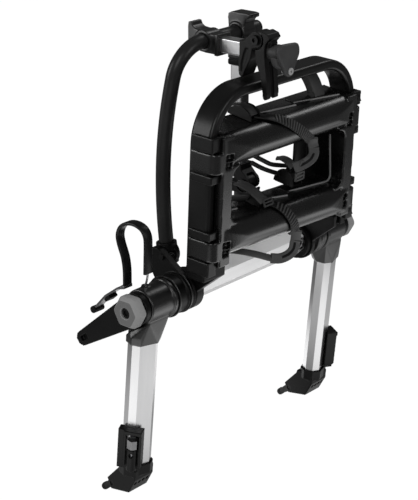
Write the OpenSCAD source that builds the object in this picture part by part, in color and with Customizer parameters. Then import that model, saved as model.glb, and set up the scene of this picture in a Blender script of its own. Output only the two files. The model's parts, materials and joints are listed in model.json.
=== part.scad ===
// Trunk mounted bike rack with its platform folded up for storage.
// X runs across the car, +Y points at the tailgate and +Z is up.
// The origin is the middle of the hub axis, on which legs and platform turn.

/* [Overall] */
// Half distance between the two legs
leg_x = 283; // [265:1:340]
// Length of a leg from the hub axis to its lower end
leg_len = 346; // [288:1:420]
// Lean of the legs towards the car, in degrees
leg_tilt = 5.25; // [0:0.25:10]
// Turn of each leg about its own axis, in degrees
leg_toe = 17; // [0:1:25]
// Lean of the folded platform away from the car, in degrees
plat_tilt = 2.68; // [0:0.01:5]

/* [Crossbar] */
// Height of the octagonal crossbar
bar_h = 60; // [50:1:64]
// Depth of the crossbar
bar_d = 50; // [42:1:54]
// Corner chamfer of the crossbar
bar_c = 17; // [12:1:19]
// Wall of the crossbar
bar_wall = 3; // [2:0.5:5]
// Height of the crossbar above the hub axis
bar_rise = 3; // [0:0.5:3]
// Radius of the pin hole near the right end of the crossbar
bar_hole_r = 8; // [4:0.5:10]

/* [Hubs] */
// Radius of the hub barrel
hub_r = 34; // [30:1:38]
// Inner length of a hub, from the leg axis
hub_in = 51; // [46:1:56]
// Outer length of a hub, from the leg axis
hub_out = 15; // [12:1:18]
// Radius of the hub spindle
spindle_r = 8; // [6:0.5:10]
// Radius of the inner rim of a hub
hub_rim_r = 38; // [36:0.5:39.5]
// Distance from the hub axis to the lower rim of the leg collar
collar_len = 73; // [66:1:90]
// Wall of the leg collar
collar_wall = 4; // [3:0.5:6]
// Hand nut, distance across its flats
nut_af = 58; // [50:1:66]
// Hand nut, thickness
nut_t = 26; // [20:1:32]

/* [Legs and feet] */
// Width of the leg profile
leg_w = 56; // [48:1:62]
// Depth of the leg profile
leg_d = 38; // [32:1:44]
// Corner chamfer of the leg profile
leg_c = 11; // [8:0.5:13]
// Wall of the leg profile
leg_wall = 2.5; // [2:0.5:4]
// Width of the foot shoe
shoe_w = 52; // [46:1:62]
// Height of the foot clamp block
foot_clamp_h = 84; // [78:1:100]
// Thickness of the foot clamp block
foot_clamp_t = 24; // [22:1:28]
// Width of the foot clamp block
foot_clamp_w = 46; // [40:1:54]
// Radius of the foot screw's shank
foot_screw_r = 5; // [4:0.5:6]
// Length of the lower hook
low_hook_len = 38; // [32:1:46]

/* [Hook lever and cable] */
// Length of the hook lever
lever_len = 168; // [140:1:200]
// Width of the hook lever
lever_t = 13; // [10:1:14]
// Angle of the hook lever below the horizontal
lever_drop = 35; // [25:1:38]
// Width of the flat cable sleeve
sleeve_w = 16; // [12:1:18]
// Thickness of the flat cable sleeve
sleeve_t = 6; // [5:0.5:8]
// Diameter of the steel hook cable
cable_d = 4; // [3:0.5:5]

/* [Mast] */
// Radius of the mast tube
mast_r = 14; // [12:0.5:16]
// Wall of the mast tube
mast_wall = 2; // [1.5:0.5:4]
// Radius of the mast's long bow
mast_bow_r = 860; // [760:10:1050]
// Height at which the mast stands furthest back
mast_bow_z = 185; // [170:1:200]
// Depth at which the mast stands furthest back
mast_bow_y = 60; // [56:1:66]
// Height at which the mast's upper bend starts
mast_bend_z = 400; // [390:1:480]
// Radius of the mast's upper bend
mast_bend_r = 60; // [52:1:70]
// Straight length of the mast's top
mast_top = 158; // [150:1:190]

/* [Arms and claws] */
// Width of the aluminium arm tubes
arm_w = 24; // [20:1:26]
// Height of the aluminium arm tubes
arm_h = 28; // [24:1:30]
// Reach of the short arm from the mast to the claw pivot
short_reach = 123; // [118:1:128]
// Reach of the long arm from the mast to the claw pivot
long_reach = 292; // [250:1:320]
// Width of a claw
claw_w = 34; // [30:1:38]
// Radius of the claw's head
claw_head_r = 15; // [13:0.5:16]
// Radius of the claw's pivot bolt
pivot_r = 5; // [4:0.5:6]
// Length of the front jaw below its pivot
jaw_len = 104; // [100:1:108]
// Length of a knob's stem
stem_len = 24; // [22:1:28]
// Length of one knob wing
wing_len = 26; // [24:1:30]

/* [Platform] */
// Half width of the platform tube, outside
plat_half = 218; // [205:1:222]
// Thickness of the flat platform tube
tube_t = 20; // [18:1:24]
// Depth of the flat platform tube
tube_d = 50; // [44:1:54]
// Distance of the tube's front face from the hub axis
plat_front = 92; // [88:1:100]
// Height of the carrying handle's top
handle_top = 407; // [400:1:412]
// Outer bend radius of the carrying handle
handle_r = 100; // [80:1:120]
// Height of one wheel tray
tray_h = 64; // [58:1:68]
// Bulge of a wheel tray
tray_bulge = 24; // [16:1:28]
// Wall of the trays
tray_wall = 4; // [3:0.5:5]
// Middle height of the upper tray
tray_up_z = 298; // [285:1:302]
// Middle height of the lower tray
tray_low_z = 122; // [118:1:130]
// Slope of the upper tray along the platform, in degrees
rake_up = 0.25; // [0:0.25:3]
// Slope of the lower tray along the platform, in degrees
rake_low = 2.25; // [0:0.25:3]
// Depth of the trays' side walls behind the shells
tray_depth = 58; // [40:1:60]
// Flare of the trays' side walls
tray_flare = 6; // [0:1:14]
// Width of the wheel straps
strap_w = 20; // [16:1:24]
// Thickness of the wheel straps
strap_t = 3; // [2:0.5:4]

/* [Hidden] */
$fn = 48;
run_gap = 0.05;
fit_gap = 0.15;
face_gap = 0.4;
eps = 0.01;

// Stations along the hub axis
hub_x0 = leg_x - hub_in;
hub_x1 = leg_x + hub_out;
bar_half = hub_x0 - 6;
clamp_x0 = hub_x0 - face_gap;
dial_x0 = leg_x - 78;
dial_x1 = leg_x - 98;
dial_r = 40;
hinge_x1 = dial_x1 - 1;
hinge_w = 21;
hinge_x0 = hinge_x1 - hinge_w;
bush_r = 36;
hinge_r = 40;
lever_x0 = hub_x1 + face_gap;
nut_x0 = lever_x0 + lever_t + face_gap;
spindle_in = 22;
spindle_x1 = nut_x0 + nut_t - 8;

// Mast geometry
mast_x = -(leg_x - 118);
leg_top = 57;
mast_foot_z = 50;
mast_arc_y = mast_bow_y - mast_bow_r;
mast_a0 = asin((mast_foot_z - mast_bow_z) / mast_bow_r);
mast_a1 = asin((mast_bend_z - mast_bow_z) / mast_bow_r);
mast_bend_y = mast_arc_y + mast_bow_r * cos(mast_a1);
mast_y = mast_bend_y - mast_bend_r * sin(mast_a1);
mast_z = mast_bend_z + mast_bend_r * cos(mast_a1);
mast_x0 = mast_x + mast_bend_r;
mast_x1 = mast_x0 + mast_top;

// Arm stations on the mast's top
short_x = mast_x0 + 22;
long_x = mast_x1 - 42;
arm_drop = 3;
claw_rise = 20;

// Platform stations
plat_x = -6;
tube_y = -plat_front + tube_d / 2;
tube_x = plat_half - tube_t / 2;
tube_z0 = 76;
bend_z = handle_top - handle_r;
bend_x = plat_half - handle_r;
tray_y = -plat_front - face_gap;
rail_w = 29;
rail_set = 18;
rail_t = 16;
band_up_z = 282;
band_low_z = 115;
tray_r = (tray_h * tray_h / 4 + tray_bulge * tray_bulge) / (2 * tray_bulge);

// Routes of the cable, its sleeve and the straps, chosen by hand
sleeve_path = [[0, 52, 26], [0, 52, 56], [0, 56, 80], [0, 65, 103], [0, 68, 120], [0, 62, 136], [0, 49, 146],
    [0, 34, 150], [0, 19, 149], [0, 6, 143], [0, -1, 131], [0, -2, 115], [0, -1, 86], [0, 0, 60]];
cable_path = [[0, 0, 59.8], [0, 1, 52], [0, 3, 44], [0, 5, 38], [0, 6, 32]];
strap_lift = strap_t / 2 + 2;
strap_end_a = 152;
strap_start_y = -72;
strap_r = tray_r + strap_lift;
strap_yc = tray_y - tray_bulge + tray_r;
function wall_z(y) = tray_h / 2 + tray_flare * (y - tray_y + 1) / (tray_depth + 1) + strap_lift;
function strap_arc(a) = [strap_yc - strap_r * sin(a), strap_r * cos(a)];
// Route of one strap: along the tray's upper wall, then down the shell, shifting sideways from x0 to x1
function strap_route(zc, rake, x0, x1) = let(flat = [[strap_start_y, wall_z(strap_start_y)]],
    bend = [for (a = [8 : 12 : strap_end_a]) strap_arc(a)], all = concat(flat, bend), n = len(all) - 1)
    [for (i = [0 : n]) let(x = x0 + (x1 - x0) * min(1, i / (n - 2))) [x, all[i][0], zc - x * tan(rake)
        + all[i][1]]];
upper_strap_x = [-72, 56];
lower_strap_x = [-38, 22];
upper_strap_path = strap_route(tray_up_z, rake_up, upper_strap_x[0], upper_strap_x[1]);
lower_strap_path = strap_route(tray_low_z, rake_low, lower_strap_x[0], lower_strap_x[1]);
upper_strap_end = upper_strap_path[len(upper_strap_path) - 1];
lower_strap_end = lower_strap_path[len(lower_strap_path) - 1];

// Vector helpers for the swept bands
function unit(v) = v / norm(v);
function path_dir(p, i) = unit(p[min(i + 1, len(p) - 1)] - p[max(i - 1, 0)]);
function side_dir(w, t) = unit(w - (w * t) * t);
function ring_at(p, i, w, sec) = let(t = path_dir(p, i), b = side_dir(w, t), n = cross(t, b))
    [for (s = sec) p[i] + s[0] * b + s[1] * n];

// Sweeps a flat section along a route, with the section's width along w
module swept(p, w, sec) {
    k = len(sec);
    n = len(p);
    points = [for (i = [0 : n - 1]) each ring_at(p, i, w, sec)];
    sides = [for (i = [0 : n - 2], j = [0 : k - 1])
        each [[i * k + j, i * k + (j + 1) % k, (i + 1) * k + j],
            [i * k + (j + 1) % k, (i + 1) * k + (j + 1) % k, (i + 1) * k + j]]];
    first = [for (j = [1 : k - 2]) [0, j + 1, j]];
    last = [for (j = [1 : k - 2]) [(n - 1) * k, (n - 1) * k + j, (n - 1) * k + j + 1]];
    polyhedron(points, concat(sides, first, last), convexity = 6);
}

function flat_section(w, t) = [[-w / 2, -t / 2], [w / 2, -t / 2], [w / 2, t / 2], [-w / 2, t / 2]];
function oval_section(w, t, n) = [for (i = [0 : n - 1]) let(a = 360 * (i + 0.5) / n)
    [w / 2 * sign(cos(a)) * pow(abs(cos(a)), 0.6), t / 2 * sign(sin(a)) * pow(abs(sin(a)), 0.6)]];

// Octagon with equal corner chamfers
module octagon(w, d, c) {
    polygon([[-w / 2 + c, -d / 2], [w / 2 - c, -d / 2], [w / 2, -d / 2 + c], [w / 2, d / 2 - c],
        [w / 2 - c, d / 2], [-w / 2 + c, d / 2], [-w / 2, d / 2 - c], [-w / 2, -d / 2 + c]]);
}

// Rectangle with round corners
module round_rect(w, d, r) {
    square([w - 2 * r, d], center = true);
    square([w, d - 2 * r], center = true);
    for (sx = [-1, 1], sy = [-1, 1]) translate([sx * (w / 2 - r), sy * (d / 2 - r)]) circle(r);
}

// Flat bar that narrows from a round end at the origin to a round end at distance len
module taper(r1, r2, len) {
    b = acos((r1 - r2) / len) - 3;
    k = 0.999;
    circle(r1);
    translate([len, 0]) circle(r2);
    polygon([[k * r1 * cos(b), k * r1 * sin(b)], [len + k * r2 * cos(b + 6), k * r2 * sin(b + 6)],
        [len + k * r2 * cos(b + 6), -k * r2 * sin(b + 6)], [k * r1 * cos(b), -k * r1 * sin(b)]]);
}

// Draws an outline in the YZ plane and extrudes it from x0 to x1
module along_x(x0, x1) {
    translate([x0, 0, 0]) rotate([90, 0, 90]) linear_extrude(x1 - x0) children();
}

// Round bar along X
module bar_x(r, x0, x1) {
    translate([x0, 0, 0]) rotate([0, 90, 0]) cylinder(h = x1 - x0, r = r);
}

// Copies a right hand piece to the chosen side
module on_side(side) {
    mirror([side < 0 ? 1 : 0, 0, 0]) children();
}

// Frame of one leg, with its profile turned outwards
module on_leg(side) {
    on_side(side) translate([leg_x, 0, 0]) rotate([leg_tilt, 0, 0]) children();
}

module on_toe(side) {
    on_leg(side) rotate([0, 0, leg_toe]) children();
}

// Frame of the folded platform
module on_platform() {
    translate([plat_x, 0, 0]) rotate([plat_tilt, 0, 0]) children();
}

// Frame of an arm: the mast's top runs along X through its origin, the arm points along -Y
module on_arm(x, turn) {
    translate([x, mast_y, mast_z]) rotate([turn, 0, 0]) children();
}

// Frame of a claw at the end of an arm, with its pivot at the origin
module on_claw(x, turn, reach) {
    on_arm(x, turn) translate([0, -reach, claw_rise]) children();
}

module bar_outline(grow) {
    translate([0, bar_rise]) octagon(bar_d + 2 * grow, bar_h + 2 * grow, bar_c + grow * 0.6);
}

module crossbar() {
    color("silver") difference() {
        along_x(-bar_half, bar_half) difference() {
            bar_outline(0);
            bar_outline(-bar_wall);
        }
        translate([hinge_x0 - bar_hole_r - 4, -bar_d / 2 - 1, bar_rise]) rotate([-90, 0, 0])
            cylinder(h = bar_wall + 2, r = bar_hole_r);
    }
}

module hinge_bushings() {
    color("dimgray") for (side = [-1, 1]) on_side(side) along_x(hinge_x0, hinge_x1) difference() {
        circle(bush_r);
        bar_outline(fit_gap);
    }
}

// Mast clamp: ribbed barrel on the crossbar, one ear on it and a socket for the mast
socket_y = mast_arc_y + mast_bow_r * cos(mast_a0);
socket_r = mast_r + 6;
screw_r = 3;
screw_z = mast_foot_z + 12;
screw_y = mast_arc_y + sqrt(mast_bow_r * mast_bow_r - pow(screw_z - mast_bow_z, 2));
screw_step = mast_r + screw_r + 1.2;
ear_t = 16;
ear_x0 = -dial_x1 - ear_t + 2;
module mast_clamp() {
    rib_w = 3;
    rib_n = 3;
    socket_h = 30;
    plate_t = 12;
    color([0.08, 0.08, 0.08]) difference() {
        union() {
            bar_x(37, -clamp_x0, -dial_x0);
            bar_x(dial_r - 2, -dial_x0, -dial_x1);
            for (i = [0 : rib_n - 1]) translate([-dial_x0 + i * 8.5, 0, 0]) bar_x(dial_r, 0, rib_w);
            along_x(ear_x0, ear_x0 + ear_t) rotate(46) taper(dial_r - 3, socket_r + 3, 74);
            along_x(mast_x - 2, mast_x + plate_t - 2) translate([socket_y, mast_foot_z + 8])
                circle(socket_r + 3);
            translate([mast_x, mast_arc_y, mast_bow_z]) rotate([90, 0, 90]) rotate([0, 0, mast_a0 - 0.8])
                rotate_extrude(angle = asin(socket_h / mast_bow_r) + 0.8, $fn = 96)
                    translate([mast_bow_r, 0]) circle(socket_r);
        }
        along_x(-clamp_x0 - 1, -dial_x1 + 1) bar_outline(fit_gap);
        bar_x(hinge_r + 2, -dial_x1 + eps, -hinge_x0 + 30);
        translate([mast_x, mast_arc_y, mast_bow_z]) rotate([90, 0, 90]) rotate([0, 0, mast_a0])
            rotate_extrude(angle = asin(2 * socket_h / mast_bow_r), $fn = 96)
                translate([mast_bow_r, 0]) circle(mast_r + fit_gap);
        for (s = [-1, 1]) translate([0, screw_y + s * screw_step, screw_z])
            bar_x(screw_r + fit_gap, ear_x0 - 1, mast_x + 9);
    }
}

module clamp_screws() {
    color("gray") for (s = [-1, 1]) translate([0, screw_y + s * screw_step, screw_z]) {
        bar_x(screw_r, ear_x0 - 1, mast_x + 8);
        bar_x(5.5, ear_x0 - 4, ear_x0 - eps);
    }
}

// Mast: a long bow, a quarter bend and a straight top, in three lengths that butt together
module mast_profile() {
    difference() {
        circle(mast_r);
        circle(mast_r - mast_wall);
    }
}

module mast() {
    butt = 0.01;
    bow_cut = butt / mast_bow_r * 180 / PI;
    bend_cut = butt / mast_bend_r * 180 / PI;
    color([0.1, 0.1, 0.1]) {
        translate([mast_x, mast_arc_y, mast_bow_z]) rotate([90, 0, 90]) rotate([0, 0, mast_a0])
            rotate_extrude(angle = mast_a1 - mast_a0 - bow_cut, $fn = 96) translate([mast_bow_r, 0])
                mast_profile();
        translate([mast_x + mast_bend_r, mast_bend_y, mast_bend_z]) rotate([90 + mast_a1, 0, 0])
            rotate([0, 0, 90 + bend_cut]) rotate_extrude(angle = 90 - 2 * bend_cut, $fn = 96)
                translate([mast_bend_r, 0]) mast_profile();
        translate([mast_x0 + butt, mast_y, mast_z]) rotate([0, 90, 0]) linear_extrude(mast_top - butt)
            mast_profile();
    }
}

module mast_plug() {
    color("black") translate([mast_x1, mast_y, mast_z]) {
        bar_x(mast_r - mast_wall - fit_gap, -14, 0);
        bar_x(mast_r, 0, 4);
    }
}

module right_collar() {
    color([0.08, 0.08, 0.08]) difference() {
        union() {
            bar_x(35, dial_x0 - 6, clamp_x0);
            bar_x(38, dial_x0 - 6, dial_x0);
            bar_x(38, dial_x0 + 6, dial_x0 + 14);
        }
        along_x(dial_x0 - 7, clamp_x0 + 1) bar_outline(fit_gap);
    }
}

module hub_spindles() {
    color("gray") for (side = [-1, 1]) on_side(side) {
        bar_x(spindle_r, bar_half - spindle_in, spindle_x1);
        along_x(bar_half - spindle_in, bar_half - eps) difference() {
            bar_outline(-bar_wall - fit_gap);
            circle(spindle_r - eps);
        }
    }
}

// Hub casting: a barrel on the hub axis that flows down into the octagonal leg collar
lever_r1 = 31;
lever_r2 = 15;
module hub(side) {
    shoulder_z = -26;
    collar_h = 16;
    neck = hub_in - 12;
    relief = 1;
    color([0.1, 0.1, 0.1]) difference() {
        union() {
            on_side(side) {
                bar_x(hub_r, hub_x0, hub_x1);
                bar_x(hub_rim_r, hub_x0, hub_x0 + 8);
            }
            on_leg(side) hull() {
                translate([-neck, -hub_r + 8, shoulder_z]) cube([neck + hub_out - 1, 2 * hub_r - 16, 1]);
                rotate([0, 0, leg_toe]) translate([0, 0, -collar_len]) linear_extrude(collar_h)
                    octagon(leg_w + 2 * collar_wall, leg_d + 2 * collar_wall, leg_c + collar_wall * 0.6);
            }
            on_side(side) translate([leg_x - 8, 6, 0]) cylinder(h = hub_r + 2, r = 8);
        }
        on_toe(side) translate([0, 0, -collar_len - 1]) linear_extrude(collar_len - leg_top + 1 + fit_gap)
            octagon(leg_w + 2 * fit_gap, leg_d + 2 * fit_gap, leg_c);
        on_side(side) {
            bar_x(spindle_r + run_gap, hub_x0 - 1, hub_x1 + 1);
            translate([leg_x - 8, 6, hub_r - 4]) cylinder(h = 8, r = cable_d / 2 + 1);
            along_x(hub_x1, hub_x1 + 2 * nut_t) circle(lever_r1 + relief);
            along_x(hub_x1, hub_x1 + 2 * nut_t) rotate(-lever_drop)
                translate([0, -lever_r1 - relief]) square([lever_len, 2 * lever_r1 + 2 * relief]);
        }
    }
}

module leg_tube(side) {
    color("silver") on_toe(side) translate([0, 0, -leg_len]) linear_extrude(leg_len - leg_top) difference() {
        octagon(leg_w, leg_d, leg_c);
        octagon(leg_w - 2 * leg_wall, leg_d - 2 * leg_wall, leg_c - leg_wall * 0.6);
    }
}

// Foot shoe: an angled boot round the end of the leg, slotted for the lower hook
hook_pivot_y = 40;
hook_pivot_z = -leg_len - 48;
hook_w = 18;
shoe_x0 = -shoe_w * 0.55;
shoe_x1 = shoe_w * 0.45;
hook_mid = (shoe_x0 + shoe_x1) / 2;
slot_step = 11;
module foot_shoe(side) {
    color([0.09, 0.09, 0.09]) difference() {
        on_leg(side) union() {
            along_x(shoe_x0, shoe_x1)
                polygon([[-20, -leg_len + 4], [-20, -leg_len - 16], [-6, -leg_len - 48], [40, -leg_len - 60],
                    [52, -leg_len - 40], [24, -leg_len - 4], [22, -leg_len + 4]]);
            rotate([0, 0, leg_toe]) translate([0, 0, -leg_len - 8]) linear_extrude(22)
                octagon(leg_w + 2 * collar_wall, leg_d + 2 * collar_wall, leg_c + collar_wall * 0.6);
        }
        on_toe(side) translate([0, 0, -leg_len]) linear_extrude(20)
            octagon(leg_w + 2 * fit_gap, leg_d + 2 * fit_gap, leg_c);
        on_leg(side) along_x(hook_mid - hook_w / 2 - face_gap, hook_mid + hook_w / 2 + face_gap)
            polygon([[16, -leg_len - 90], [16, -leg_len - 30], [30, -leg_len - 24], [80, -leg_len - 24],
                [80, -leg_len - 90]]);
        on_leg(side) translate([0, hook_pivot_y, hook_pivot_z]) bar_x(4 + run_gap, shoe_x0 - 1, shoe_x1 + 1);
        on_leg(side) for (i = [0 : 3]) translate([shoe_x0 + 8 + i * slot_step, -30, -leg_len - 29])
            cube([slot_step * 0.55, 26, 7]);
    }
}

// Foot clamp block over the leg's outer front corner, with an arched recess for the screw
screw_out = 36.8;
screw_z0 = 8;
bolt_h = 18;
clamp_z0 = -leg_len + 14 + face_gap;
clamp_skin = 18;
module on_corner(side) {
    on_toe(side) rotate([0, 0, -45]) children();
}

module foot_clamp(side) {
    seat_h = 46;
    recess_w = 25;
    recess_h = foot_clamp_h - seat_h - 8;
    column_r = 10;
    lip = 5;
    color([0.09, 0.09, 0.09]) difference() {
        on_corner(side) union() {
            translate([clamp_skin, -foot_clamp_w * 0.36, clamp_z0]) cube([foot_clamp_t - 6, foot_clamp_w,
                foot_clamp_h]);
            translate([screw_out, 0, clamp_z0]) cylinder(h = seat_h, r = column_r);
            translate([clamp_skin, -recess_w / 2 - lip, clamp_z0 + foot_clamp_h - 8])
                cube([foot_clamp_t, recess_w + 2 * lip, 8]);
            for (s = [-1, 1]) translate([clamp_skin, s * (recess_w / 2 + lip / 2) - lip / 2, clamp_z0 + 8])
                cube([foot_clamp_t - 2, lip, foot_clamp_h - 10]);
        }
        on_toe(side) translate([0, 0, clamp_z0 - 1]) linear_extrude(foot_clamp_h + 2)
            octagon(leg_w + 2 * fit_gap, leg_d + 2 * fit_gap, leg_c);
        on_corner(side) translate([screw_out - 12, -recess_w / 2, clamp_z0 + seat_h])
            cube([foot_clamp_t + 8, recess_w, recess_h]);
        on_corner(side) translate([screw_out, 0, clamp_z0 + screw_z0 - 2]) cylinder(h = seat_h,
            r = foot_screw_r + run_gap);
        on_corner(side) translate([screw_out + foot_screw_r - 2, 0, clamp_z0 + seat_h - 12]) rotate([0,
            90, 0])
            cylinder(h = column_r, r = 4.5);
    }
}

module foot_screw(side) {
    flange_z = 39;
    color("gray") on_corner(side) translate([screw_out, 0, clamp_z0 + screw_z0]) {
        cylinder(h = flange_z + 4, r = foot_screw_r);
        translate([0, 0, flange_z]) cylinder(h = 3, r = 9);
        translate([0, 0, flange_z + 1]) cylinder(h = bolt_h, r = 11, $fn = 6);
    }
}

module lower_hook(side) {
    color("dimgray") on_leg(side) translate([0, hook_pivot_y, hook_pivot_z]) union() {
        along_x(hook_mid - hook_w / 2, hook_mid + hook_w / 2) rotate(-hook_drop) taper(10, 6, low_hook_len);
        bar_x(4, shoe_x0 + 2, shoe_x1 - 2);
    }
}

hook_drop = 42;
module hook_tip(side) {
    color("black") on_leg(side) translate([hook_mid, hook_pivot_y, hook_pivot_z]) rotate([-hook_drop, 0, 0])
        translate([0, low_hook_len + 6, 0]) rotate([-90, 0, 0]) cylinder(h = 10, r = 9.5);
}

module hand_nut(side) {
    face_c = 4;
    color([0.5, 0.5, 0.5]) on_side(side) difference() {
        intersection() {
            translate([nut_x0, 0, 0]) rotate([0, 90, 0]) rotate([0, 0, 30])
                cylinder(h = nut_t, r = nut_af / 2 / cos(30), $fn = 6);
            translate([nut_x0, 0, 0]) rotate([0, 90, 0]) rotate_extrude(angle = 360)
                polygon([[0, 0], [nut_af * 0.53, 0], [nut_af * 0.565, face_c], [nut_af * 0.565,
                    nut_t - 2.2 * face_c],
                    [nut_af * 0.5 - face_c, nut_t], [0, nut_t]]);
        }
        bar_x(spindle_r + run_gap, nut_x0 - 1, spindle_x1 + 2);
        bar_x(spindle_r + 3, nut_x0 + nut_t - 6, nut_x0 + nut_t + 1);
    }
}

module hook_lever(side) {
    wall = 3;
    tip = 30;
    nose = 16;
    pocket = 7;
    color([0.08, 0.08, 0.08]) on_side(side) difference() {
        union() {
            along_x(lever_x0, lever_x0 + lever_t) rotate(-lever_drop) taper(lever_r1, lever_r2, lever_len);
            along_x(lever_x0 + 2, lever_x0 + lever_t - 1) rotate(-lever_drop) translate([0, -3])
                square([lever_len, 6]);
            along_x(lever_x0, lever_x0 + lever_t) rotate(-lever_drop) polygon([[lever_len - tip,
                lever_r2 - 1],
                [lever_len + nose - 8, lever_r2 - 1], [lever_len + nose, lever_r2 - 9], [lever_len + nose,
                    9 - lever_r2],
                [lever_len + nose - 8, 1 - lever_r2], [lever_len - tip, 1 - lever_r2]]);
        }
        bar_x(spindle_r + run_gap, lever_x0 - 1, lever_x0 + lever_t + 1);
        along_x(lever_x0 - 1, lever_x0 + lever_t - wall) rotate(-lever_drop) translate([34, 0])
            taper(lever_r1 - 8, lever_r2 - wall, lever_len - 34 - tip);
        along_x(lever_x0 + lever_t - pocket, lever_x0 + lever_t + 1) rotate(-lever_drop)
            translate([lever_len - 15, -5]) square([20, 10]);
    }
}

// Tailgate hook: a bent steel plate that hangs on the sleeved cable
hook_x = leg_x - 6;
hook_plate_w = 22;
module hook_plate(side, w) {
    on_side(side) along_x(hook_x - w / 2, hook_x + w / 2) polygon([[48, 25.6], [48, 20], [66, 15], [96,
        -8], [126, -40],
        [129, -38], [99, -5], [68, 18], [56, 22], [56, 25.6]]);
}

module tailgate_hook(side) {
    color("lightgray") hook_plate(side, hook_plate_w);
}

module hook_ends(side) {
    end_w = 26;
    color("black") difference() {
        on_side(side) {
            translate([0, 130, -43]) bar_x(7, hook_x - end_w / 2, hook_x + end_w / 2);
            translate([0, 97.5, -6.5]) rotate([-42, 0, 0]) translate([hook_x - 11, -8, -9.6]) cube([22,
                16, 8.6]);
        }
        hook_plate(side, hook_plate_w + 2 * fit_gap);
    }
}

module cable_sleeve(side) {
    color([0.12, 0.12, 0.12]) on_side(side) translate([hook_x - 2, 0, 0])
        swept(sleeve_path, [1, 0, 0], oval_section(sleeve_w, sleeve_t, 8));
}

module hook_cable(side) {
    color("lightgray") on_side(side) translate([hook_x - 2, 0, 0])
        swept(cable_path, [1, 0, 0], oval_section(cable_d, cable_d, 8));
}

// Arm bracket: a saddle round the mast with a rear horn and a front collar for the arm tube
module arm_bracket() {
    half = 18;
    wall = 6;
    collar_y = 37;
    color([0.09, 0.09, 0.09]) difference() {
        union() {
            bar_x(mast_r + wall, -half, half);
            along_x(-half + 3, half - 3) polygon([[8, 19], [20, 20], [27, 24], [30, 31], [37, 31], [38,
                22], [38, -12],
                [34, -20], [26, -21], [8, -19]]);
            translate([-half - 1, -collar_y, -arm_drop - arm_h / 2 - 6]) cube([2 * half + 2, 8, arm_h + 12]);
            translate([-half + 1, -collar_y, -arm_drop - arm_h / 2 - 4]) cube([2 * half - 2, collar_y - 4,
                arm_h + 8]);
        }
        bar_x(mast_r + run_gap, -half - 1, half + 1);
        translate([0, -45, -arm_drop]) cube([arm_w + 2 * fit_gap, 40, arm_h + 2 * fit_gap], center = true);
        for (x = [-6, 6]) translate([x, 33.5, 22]) cylinder(h = 12, r = 2.2);
    }
}

module arm_tube(reach) {
    wall = 2;
    y0 = -reach + 28;
    color("silver") translate([0, y0, -arm_drop]) rotate([90, 0, 180]) linear_extrude(-25.5 - y0)
        difference() {
        round_rect(arm_w, arm_h, 3);
        round_rect(arm_w - 2 * wall, arm_h - 2 * wall, 1.5);
    }
}

// Outline of the rear jaw: a curved leaf that narrows to its tip behind the gripped tube
module leaf_outline() {
    polygon([[-6, 13], [9.4, 12.5], [25.7, -5], [34.8, -19.4], [38.2, -38], [39.2, -56], [37.6, -68], [33,
        -72],
        [28.5, -70], [22.8, -57.5], [11.5, -37.6], [7.2, -17], [-6, -13]]);
}

// Claw body: the rear jaw with two cheeks at the pivot and a socket for the arm tube
module claw_body() {
    cheek = 8;
    socket_y = 25;
    socket_end = 37;
    pocket = 2.5;
    color([0.09, 0.09, 0.09]) difference() {
        union() {
            along_x(-claw_w / 2, claw_w / 2) leaf_outline();
            bar_x(claw_head_r, -claw_w / 2, claw_w / 2);
            translate([-claw_w / 2, socket_y, -claw_rise - arm_drop - arm_h / 2 - 4])
                cube([claw_w, socket_end - socket_y, arm_h + 8]);
        }
        bar_x(pivot_r + run_gap, -claw_w, claw_w);
        along_x(-claw_w / 2 + cheek - face_gap, claw_w / 2 - cheek + face_gap) {
            circle(claw_head_r + 2.5);
            translate([-40, -claw_head_r - 2.5]) square([40, 2 * claw_head_r + 10]);
        }
        translate([-arm_w / 2 - fit_gap, socket_y + 3 - fit_gap, -claw_rise - arm_drop - arm_h / 2 - fit_gap])
            cube([arm_w + 2 * fit_gap, 40, arm_h + 2 * fit_gap]);
        for (s = [0, 1]) mirror([s, 0, 0]) along_x(claw_w / 2 - pocket, claw_w / 2 + 1)
            polygon([[16, -18], [23, -18], [28, -30], [33, -48], [33, -62], [30, -62], [21, -42]]);
    }
}

// Outline of the front jaw: a shoulder at the pivot and a long bow down to the tip
module bow_outline() {
    polygon([[-12, 17], [-26, 13], [-31, 6], [-22, -5], [-20.5, -20], [-22, -36], [-24.5, -54], [-27, -75],
        [-28, 9 - jaw_len], [-27, -jaw_len], [-22, -jaw_len - 3], [-18, 1 - jaw_len], [-15.5, -82], [-12,
            -68],
        [-6.5, -52], [0, -37], [0.5, -18]]);
}

// Front jaw: a broad bow with a groove between two front ridges, turning on the pivot bolt
module front_jaw() {
    cheek = 8;
    groove_w = 10;
    groove_d = 6;
    boss_r = 12;
    color([0.09, 0.09, 0.09]) difference() {
        union() {
            along_x(-claw_w / 2, claw_w / 2) difference() {
                bow_outline();
                circle(claw_head_r + 2.5);
            }
            along_x(-claw_w / 2 + cheek, claw_w / 2 - cheek) rotate(195) taper(claw_head_r - 1, 9, 22);
            translate([0, -12, -claw_rise]) rotate([90, 0, 0]) cylinder(h = -knob_y - 12 - face_gap,
                r = boss_r);
        }
        bar_x(pivot_r + run_gap, -claw_w, claw_w);
        along_x(-groove_w / 2, groove_w / 2) translate([-groove_d, 0]) difference() {
            translate([-40, -jaw_len - 10]) square([40, jaw_len - claw_rise - boss_r + 4]);
            translate([2 * groove_d, 0]) bow_outline();
        }
        translate([0, 0, -claw_rise]) rotate([90, 0, 0]) translate([0, 0, 8]) cylinder(h = 40,
            r = 5 + run_gap);
    }
}

module pivot_bolt() {
    color("dimgray") difference() {
        union() {
            bar_x(pivot_r, -claw_w / 2 - 1, claw_w / 2 + 1);
            bar_x(9, -claw_w / 2 - 5, -claw_w / 2 - face_gap);
            bar_x(8, claw_w / 2 + face_gap, claw_w / 2 + 5);
        }
        translate([-claw_w / 2 - 6, 0, 0]) rotate([0, 90, 0]) cylinder(h = 4, r = 4, $fn = 6);
    }
}

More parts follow.
